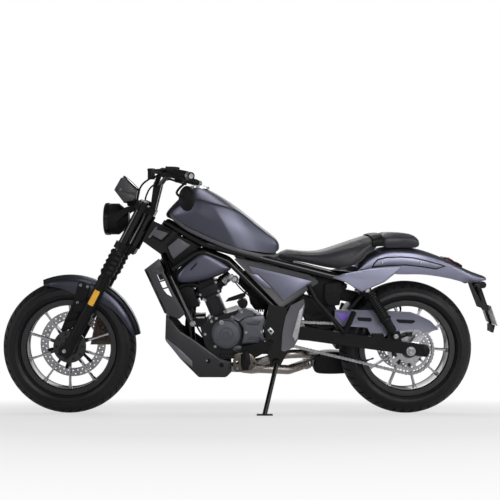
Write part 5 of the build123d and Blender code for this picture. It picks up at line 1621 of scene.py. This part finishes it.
class MOTORCYCLE_OT_exhaust(bpy.types.Operator):
    """Silencer with its end, and the collector, heat plate, link pipe and clamp before it"""
    bl_idname = "motorcycle.exhaust"
    bl_label = "Silencer"

    def execute(self, context):
        outline = ((1106, 162), (1130, 151), (1296, 152), (1322, 186), (1302, 254), (1156, 262), (1108, 240))
        rings = []
        for grow, y in ((22, 176), (8, 174), (1, 166), (0, 150), (0, 110), (1, 95), (8, 87), (20, 85)):
            rings.append([mm(x, y, z) for x, z in inset(outline, grow)])
        can = loft("silencer", rings)
        subdivide(can, 2)
        park(can, "muffler_black", replaces=["muffler"], angle=60)
        # collector under the gearbox, its heat plate and the link pipe up to the silencer
        second = tube("link_pipe", [mm(792, 40, 214), mm(860, 20, 220), mm(940, -10, 262), mm(1010, -20, 270),
            mm(1070, 20, 262), mm(1112, 96, 236)], 0.040, 5)
        shield = slab("heat_plate", ((842, 246), (884, 262), (948, 270), (938, 238), (880, 226), (846, 226)),
            -44, -38, 2, 2)
        cone = turned("collector", ((21, -45), (24, -42), (30, -20), (32, 20), (27, 55), (22.5, 70), (21, 60)),
            40, aim(mm(800, 12, 206), mm(960, 46, 190)), closed=True)
        park(join("exhaust_collector", [second, shield, cone]), "collector_steel", angle=60)
        end = turned("silencer_end", ((0, 2), (13, 2), (13.5, 14), (16.5, 16), (18, 12), (18.5, -4)), 32,
            aim(mm(1312, 130, 214), mm(1352, 130, 222)))
        park(end, "cast_black")
        band = turned("exhaust_clamp", ((22.5, -11), (24.5, -11), (26.2, -9), (26.2, -4), (24.8, 0), (26.2, 4),
            (26.2, 9), (24.5, 11), (22.5, 11)), 40, aim(mm(1078, 110, 200), mm(1104, 124, 206)), closed=True)
        park(band, "bare_steel")
        return {"FINISHED"}


PEG_PLATE = ((740, 288), (757, 297), (802, 296), (816, 288), (842, 254), (832, 238), (812, 222), (748, 214),
    (736, 226), (734, 262))


class MOTORCYCLE_OT_footrests(bpy.types.Operator):
    """Peg plates, ribbed peg rubbers, pedal linkage and pivot nut"""
    bl_idname = "motorcycle.footrests"
    bl_label = "Footrest details"

    def execute(self, context):
        plate = slab("peg_plate", PEG_PLATE, -150, -146, 1.5, 2)
        holes = []
        for x, z, r in ((753, 255, 7), (753, 228, 6), (826, 250, 5)):
            holes.append(rod("hole", r, 20, 20, leftward(x, -148, z)))
        cut(plate, holes)
        park(both_sides(plate), "bronze_alloy")
        band = slab("peg_clevis", ((768, 294), (804, 294), (806, 250), (800, 222), (774, 222), (768, 250)),
            -158, -148, 4, 3)
        arm = framed("linkage_arm", ((832, 288), (842, 280), (902, 324), (912, 340), (898, 350), (884, 340)),
            -140, -134, 4, -1.5)
        park(both_sides(join("peg_clevis", [band, arm])), "cast_black")
        sleeves = []
        for start, end, out in ((mm(790, -165, 290), mm(790, -284, 278), 0.0165),
                (mm(1221, -132, 380), mm(1256, -156, 474), 0.0125)):
            reach = (end - start).length
            ribs = [(0.0, 0.0), (out - 0.001, 0.0)]
            count = int(reach / 0.0075)
            for number in range(count):
                h = reach * (number + 0.1) / count
                ribs += [(out - 0.0022, h), (out, h + 0.0012), (out, h + 0.0042), (out - 0.0022, h + 0.0054)]
            ribs += [(out - 0.001, reach), (0.0, reach)]
            sleeves.append(spun("peg_rubber", ribs, 20, aim(start, end)))
        park(both_sides(join("peg_rubbers", sleeves)), "gaiter_rubber", angle=30)
        nut = slab("pivot_nut", ((882, 392), (896, 408), (914, 386), (900, 371)), -143, -133, 3, 3)
        cut(nut, [rod("hole", 5.5, 20, 20, leftward(898, -140, 389))])
        park(both_sides(nut), "machined_alloy")
        return {"FINISHED"}


# ---------------------------------------------------------------- fork and cockpit
class MOTORCYCLE_OT_lamp(bpy.types.Operator):
    """Headlight rim, domed lens and light bars, with the instrument in front of the bars"""
    bl_idname = "motorcycle.lamp"
    bl_label = "Headlight and instrument"

    def execute(self, context):
        front = aim(mm(171, 0, 874), mm(150, 0, 874))
        rim = turned("lamp_rim", ((64, 12), (66.5, 13), (71.5, 10), (73, 4), (73, -10), (70.5, -12), (64, -6)),
            72, front, closed=True)
        park(rim, "frame_black", "fork")
        lens_face = turned("lamp_glass", ((0, 15.5), (20, 15), (40, 13.2), (56, 10.5), (64.5, 8.5), (64.5, 0)),
            64, front)
        park(lens_face, "lamp_lens", "fork")
        marks = [rounded_box("lamp_bar", 157, 162, -48, 48, z, z + 4, 0.8, 1) for z in (840, 862, 886, 908)]
        park(join("lamp_bars", marks), "machined_alloy", "fork")
        case = [slab("instrument_part", outline, -half, half, rounding, segments) for outline, half, rounding,
            segments in ((((238, 1060), (206, 1004), (220, 986), (252, 944), (262, 948), (232, 1000)), 60, 4,
            3), (((244, 1062), (212, 1005), (224, 990), (256, 950), (300, 958), (310, 1000)), 64, 5, 3),
            (((222, 992), (252, 950), (296, 957), (300, 975), (232, 1002)), 66, 2, 2),
            (((242, 1054), (216, 1006), (228, 1003), (304, 982), (306, 998)), 66, 2, 2))]
        park(join("instrument_case", case), "shroud_grey", "fork", replaces=["instrument"])
        bracket = slab("instrument_bracket", ((256, 952), (262, 931), (340, 931), (340, 950), (300, 962)), -24,
            24, 2, 2)
        park(bracket, "black_plastic", "fork", replaces=["instrument"])
        face_place = aim(mm(278, 0, 1033), mm(296, 0, 1052))
        dial = turned("dial_glass", ((0, 3.5), (30, 3), (42, 1.5), (45, -2)), 56, face_place)
        ring = turned("dial_ring", ((45, -4), (45, 3.8), (48, 4.5), (51, 2), (51, -4)), 56, face_place,
            closed=True)
        park(dial, "dial_dark", "fork")
        park(ring, "cast_black", "fork")
        screw = bolts("instrument_screws", ((236, -64, 1005),), TO_LEFT, 0.009, 0.3, 12)
        park(both_sides(screw), "bare_steel", "fork")
        return {"FINISHED"}


class MOTORCYCLE_OT_bars(bpy.types.Operator):
    """Ribbed grips, bar ends, switch pods, reservoirs and mirrors"""
    bl_idname = "motorcycle.bars"
    bl_label = "Bars and mirrors"

    def execute(self, context):
        end, knee = mm(554, -400, 1052), mm(428, -190, 1086)
        out = (end - knee).normalized()
        grip = [(0.0112, 0.0)]
        for number in range(16):
            h = 0.004 + 0.0071 * number
            grip += [(0.0156, h), (0.0169, h + 0.0012), (0.0169, h + 0.0048), (0.0156, h + 0.0060)]
        grip += [(0.0180, 0.1185), (0.0195, 0.1205), (0.0195, 0.1235), (0.0112, 0.1235)]
        sleeve = spun("grip", grip, 28, aim(end, end - out), closed=True)
        park(both_sides(sleeve), "gaiter_rubber", "fork", angle=28)
        tip = turned("bar_end", ((0, 26.8), (10, 26.2), (13.5, 23.5), (16.5, 21), (16.5, 14.5), (15, 13.5),
            (15, 11.5), (16.5, 10.5), (16.5, 2), (12, 0)), 32, aim(end, end + out))
        park(both_sides(tip), "machined_alloy", "fork")
        pod_at = end - out * 0.143
        pod = rounded_box("switch_pod", -22, 22, -24, 24, -24, 22, 8, 4)
        keys = [rounded_box("key", x - 5, x + 5, 20, 27, z - 4, z + 4, 1.5, 2) for x,
            z in ((-6, 10), (6, 2), (-4, -10))]
        pods = join("switch_pods", [pod, *keys])
        pods.data.transform(Matrix.Translation(pod_at) @ Matrix.Rotation(radians(31), 4, "Z"))
        park(both_sides(pods), "black_plastic", "fork")
        caps = [turned("cup_cap", ((0, 27.5), (15, 27.5), (19, 25.5), (19, 17), (17.5, 16)), 32,
            Matrix.Translation(mm(345, 205, 1086))), turned("master_cap",
            ((0, 12.5), (20, 12.5), (24.5, 10.5), (24.5, 4), (23, 3)), 36,
            Matrix.Translation(mm(404, 214, 1100)))]
        park(join("reservoir_caps", caps), "cast_black", "fork")
        shells, glasses = [], []
        for side in (-1, 1):
            head = mm(548, side * 411, 960)
            facing = Vector((cos(radians(36)), -side * sin(radians(36)), 0))
            place = aim(head, head + facing)
            shells.append(turned("mirror_shell", ((0, 4), (45.5, 4), (46.5, 6.8), (49.5, 6.8), (50.5, 4),
                (50, -2), (44, -9.5), (30, -14), (12, -16), (0, -16.2)), 56, place))
            shells.append(turned("mirror_joint", ((0, -21.5), (6, -21), (8, -18), (9, -13), (0, -13)), 20,
                place))
            shells.append(tube("mirror_stalk", [mm(560, side * 411, 1032), mm(532, side * 411, 1014),
                mm(508, side * 411, 988), mm(510, side * 411, 974), head - facing * 0.018], 0.0095, 4))
            glasses.append(turned("mirror_glass", ((0, 5.4), (44, 5.2), (45.4, 4)), 56, place))
        park(join("mirror_shells", shells), "black_plastic", "fork", replaces=["mirrors"])
        park(join("mirror_glasses", glasses), "mirror_glass", "fork")
        clamps = bolts("clamp_bolts", ((398, -40, 1048), (398, 40, 1048)), (0.2, 0, 1), 0.012, 0.4, 6)
        stem = bolt("stem_nut", on_leg(0.938, 0, 0.036), LEG_UP, 0.030, 0.35, 6)
        caps2 = [bolt("leg_cap", on_leg(0.951, side * LEG_Y), LEG_UP, 0.030, 0.16, 20) for side in (-1, 1)]
        park(join("clamp_bolts", [clamps, stem, *caps2]), "bare_steel", "fork")
        return {"FINISHED"}


class MOTORCYCLE_OT_fork_details(bpy.types.Operator):
    """Reflectors, collars, caliper and axle ends of the fork, with the rear axle ends and hoses"""
    bl_idname = "motorcycle.fork_details"
    bl_label = "Fork details"

    def execute(self, context):
        # reflector along the leg, its outline in leg coordinates
        parts = []
        for grow, y in ((0.0, 0.0), (0.0, 0.004), (0.0015, 0.006)):
            ring = []
            for back, up in ((-0.011, -0.036), (0.011, -0.036), (0.013, -0.030), (0.013, 0.030), (0.011, 0.036),
                    (-0.011, 0.036), (-0.013, 0.030), (-0.013, -0.030)):
                back -= grow * (1 if back > 0 else -1)
                up -= grow * (1 if up > 0 else -1)
                centre = on_leg(0.532, -(0.1275 + y))
                ring.append(centre + Vector((cos(RAKE), 0, -sin(RAKE))) * back + LEG_UP * up)
            parts.append(ring)
        lens_piece = loft("fork_reflector", parts)
        park(both_sides(lens_piece), "amber_lens", "fork", angle=30)
        collar = turned("leg_collar", ((25.2, -4), (28.5, -3), (28.5, 12), (26.2, 15), (25.2, 15)), 40,
            aim(on_leg(0.604, -LEG_Y), on_leg(0.700, -LEG_Y)), closed=True)
        seat = turned("axle_boss", ((0, 3), (9, 3), (10, 5.5), (16, 5.5), (18, 3.5), (24, 2.5), (25.5, -4)), 36,
            leftward(0, -124, 300.3))
        park(both_sides(join("fork_collars", [collar, seat])), "cast_black", "fork")
        ends = turned("axle_end", ((0, 4), (4.2, 4), (5, 9), (8.5, 9), (9.2, 7), (9.2, 0)), 24,
            leftward(0, -124, 300.3))
        park(both_sides(ends), "bare_steel", "fork")
        # caliper over the disc, with piston bosses and pads' slot
        body = slab("front_caliper", ((86, 304), (118, 298), (172, 322), (175, 388), (158, 427), (112, 424),
            (92, 372)), 90, 100, 6, 4)
        bosses = []
        for x, z in ((126, 340), (148, 390)):
            bosses.append(turned("piston_boss", ((0, 6), (12, 6), (15, 4.5), (19, 3.5), (19, -2)), 28,
                aim(mm(x, 100, z), mm(x, 114, z))))
        inner = slab("caliper_inner", ((100, 318), (160, 318), (168, 392), (118, 408)), 36, 44, 3, 3)
        for z in (338, 378):
            bosses.append(turned("piston_boss", ((0, 5), (10, 5), (14, 3), (16, -2)), 24, leftward(140, 36, z)))
        park(join("front_caliper", [body, inner, *bosses]), "caliper_bronze", "fork")
        # rear axle ends, chain adjusters
        adjuster = framed("chain_adjusters", ((1509, 337), (1541, 374), (1570, 370), (1546, 332)), -125, -121,
            4, -1.5)
        end_block = slab("arm_end", ((1560, 322), (1584, 326), (1594, 300), (1584, 276), (1562, 276)), -124,
            -96, 3, 2)
        park(both_sides(adjuster), "machined_alloy")
        park(both_sides(end_block), "cast_black")
        nuts = [turned("axle_washer", ((0, 2), (20, 2), (21, -1)), 32, leftward(1510, -122.5, 298.6)),
            bolt("axle_nut", mm(1510, -124, 298.6), TO_LEFT, 0.027, 0.4, 6),
            bolt("adjuster_bolt", mm(1592, -110, 300), (1, 0, 0), 0.010, 0.9, 6)]
        park(both_sides(join("rear_axle_nuts", nuts)), "bare_steel")
        # two hoses that loop over to the rear caliper
        hoses = []
        for lift in (0, 12):
            hoses.append(tube("rear_hose", [mm(1400, 70 - lift, 452), mm(1422, 74 - lift, 484 + lift),
                mm(1462, 76 - lift, 500 + lift), mm(1500, 78 - lift, 480 + lift), mm(1514, 80 - lift, 440),
                mm(1470, 84, 404)], 0.006, 2))
        park(join("rear_brake_hoses", hoses), "gaiter_rubber", angle=60)
        return {"FINISHED"}


PIECE_OPERATORS = (
    MOTORCYCLE_OT_tank,
    MOTORCYCLE_OT_seats,
    MOTORCYCLE_OT_tyres,
    MOTORCYCLE_OT_tail,
    MOTORCYCLE_OT_tail_lamp,
    MOTORCYCLE_OT_front_fender,
    MOTORCYCLE_OT_side_covers,
    MOTORCYCLE_OT_tank_trim,
    MOTORCYCLE_OT_chain_guard,
    MOTORCYCLE_OT_chain,
    MOTORCYCLE_OT_shocks,
    MOTORCYCLE_OT_wheels,
    MOTORCYCLE_OT_cylinder,
    MOTORCYCLE_OT_engine_covers,
    MOTORCYCLE_OT_lower_bodywork,
    MOTORCYCLE_OT_exhaust,
    MOTORCYCLE_OT_footrests,
    MOTORCYCLE_OT_lamp,
    MOTORCYCLE_OT_bars,
    MOTORCYCLE_OT_fork_details,
)


# the photograph's camera: its place on the upright machine, focal length and size in pixels
CAMERA_AT = (0.7213, -3.5, 0.910)
FOCAL_PIXELS, PHOTO_PIXELS, SENSOR = 775.0, 500.0, 36.0
# place, size, power
LAMPS = (
    ((1.6, -4.4, 1.5), 2.6, 105.0), ((3.6, -1.6, 1.8), 1.2, 22.0), ((-3.6, -2.2, 1.6), 1.0, 16.0),
    ((0.2, 3.6, 2.4), 2.4, 34.0), ((0.3, 0.4, 4.2), 1.6, 34.0))
LIT_FROM = Vector((0, 0, 0.6))


def seen_plainly(tree):
    """The light path's outputs, and 1 for rays that see the studio itself and not its mirror image."""
    path = tree.nodes.new("ShaderNodeLightPath").outputs
    return path, math(tree, "MAXIMUM", path["Is Camera Ray"], path["Is Transmission Ray"])


def lay_floor():
    """Pale floor that keeps its shadow near the wheels and turns white further out."""
    bpy.ops.mesh.primitive_plane_add(size=60.0, location=(0, 0, -0.0005))
    floor = bpy.context.object
    floor.name = "studio_floor"
    tree, shader, place = new_finish("studio_floor", Roughness=0.9)
    tone = noise_tone(tree, place, 0.8)
    feed(tree, shader["Base Color"], blend_colour(tree, scaled(colours().floor, 0.995), colours().floor, tone))
    away = node(tree, "ShaderNodeVectorMath", operation="LENGTH")
    feed(tree, away.inputs[0], place)
    fade = map_range(tree, away.outputs["Value"], 1.2, 2.6, 0.6, 1.0)
    glow = node(tree, "ShaderNodeEmission")
    glow.inputs["Strength"].default_value = 1.0
    both = node(tree, "ShaderNodeMixShader")
    feed(tree, both.inputs[0], math(tree, "MULTIPLY", seen_plainly(tree)[1], fade))
    feed(tree, both.inputs[1], tree.nodes["Principled BSDF"].outputs[0])
    feed(tree, both.inputs[2], glow.outputs[0])
    feed(tree, tree.nodes["Material Output"].inputs["Surface"], both.outputs[0])
    wear(floor, "studio_floor")


def light_room(scene):
    """White walls to the camera, pale walls under a dim ceiling to reflections and shade."""
    world = bpy.data.worlds.new("studio")
    scene.world = world
    world.use_nodes = True
    tree = world.node_tree
    light = tree.nodes["Background"].inputs
    light["Color"].default_value = (1.0, 1.0, 1.0, 1.0)
    path, seen = seen_plainly(tree)
    direction = node(tree, "ShaderNodeSeparateXYZ")
    feed(tree, direction.inputs[0], tree.nodes.new("ShaderNodeTexCoord").outputs["Generated"])
    walls = map_range(tree, direction.outputs["Z"], 0.05, 0.55, 0.42, 0.06, interpolation_type="SMOOTHSTEP")
    mirrored_walls = math(tree, "MULTIPLY", path["Is Glossy Ray"], math(tree, "MULTIPLY", walls, 1.6))
    feed(tree, light["Strength"], math(tree, "MAXIMUM", seen, math(tree, "MAXIMUM", walls, mirrored_walls)))


class MOTORCYCLE_OT_stage(bpy.types.Operator):
    """Pale floor, soft studio lamps and the camera"""
    bl_idname = "motorcycle.stage"
    bl_label = "Studio and camera"

    def execute(self, context):
        scene = context.scene
        deselect()
        lay_floor()
        for spot, size, power in LAMPS:
            bpy.ops.object.light_add(type="AREA", location=spot)
            lamp = context.object
            lamp.data.shape = "SQUARE"
            lamp.data.size = size
            lamp.data.energy = power
            lamp.rotation_euler = (LIT_FROM - Vector(spot)).to_track_quat("-Z", "Y").to_euler()
        light_room(scene)
        bpy.ops.object.camera_add()
        camera = context.object
        camera.name = "photo_camera"
        camera.location = UPRIGHT_TO_PARKED @ Vector(CAMERA_AT)
        camera.rotation_euler = (radians(90.0) + LEAN, 0.0, 0.0)
        camera.data.sensor_width = SENSOR
        camera.data.lens = SENSOR * FOCAL_PIXELS / PHOTO_PIXELS
        camera.data.shift_x = 0.040
        camera.data.shift_y = -0.078
        scene.camera = camera
        scene.view_settings.view_transform = "Standard"
        return {"FINISHED"}


OPERATORS = (MOTORCYCLE_OT_finishes, *PIECE_OPERATORS, MOTORCYCLE_OT_stage)


class MOTORCYCLE_PT_panel(bpy.types.Panel):
    """Colours, sizes and building steps of the parked motorcycle"""
    bl_idname = "MOTORCYCLE_PT_panel"
    bl_label = "Parked Motorcycle"
    bl_space_type = "VIEW_3D"
    bl_region_type = "UI"
    bl_category = "Motorcycle"

    def draw(self, context):
        for group in (context.scene.motorcycle_colours, context.scene.motorcycle_sizes):
            column = self.layout.column(align=True)
            for key in group.__annotations__:
                column.prop(group, key)
        column = self.layout.column(align=True)
        for operator in OPERATORS:
            column.operator(operator.bl_idname)


CLASSES = (MotorcycleColours, MotorcycleSizes, *OPERATORS, MOTORCYCLE_PT_panel)


def register():
    for kind in CLASSES:
        bpy.utils.register_class(kind)
    bpy.types.Scene.motorcycle_colours = bpy.props.PointerProperty(type=MotorcycleColours)
    bpy.types.Scene.motorcycle_sizes = bpy.props.PointerProperty(type=MotorcycleSizes)


def unregister():
    del bpy.types.Scene.motorcycle_sizes
    del bpy.types.Scene.motorcycle_colours
    for kind in reversed(CLASSES):
        bpy.utils.unregister_class(kind)


def main():
    register()
    for operator in OPERATORS:
        family, action = operator.bl_idname.split(".")
        if getattr(getattr(bpy.ops, family), action)() != {"FINISHED"}:
            raise RuntimeError(f"{operator.bl_label} did not finish")
    deselect()


if __name__ == "__main__":
    main()
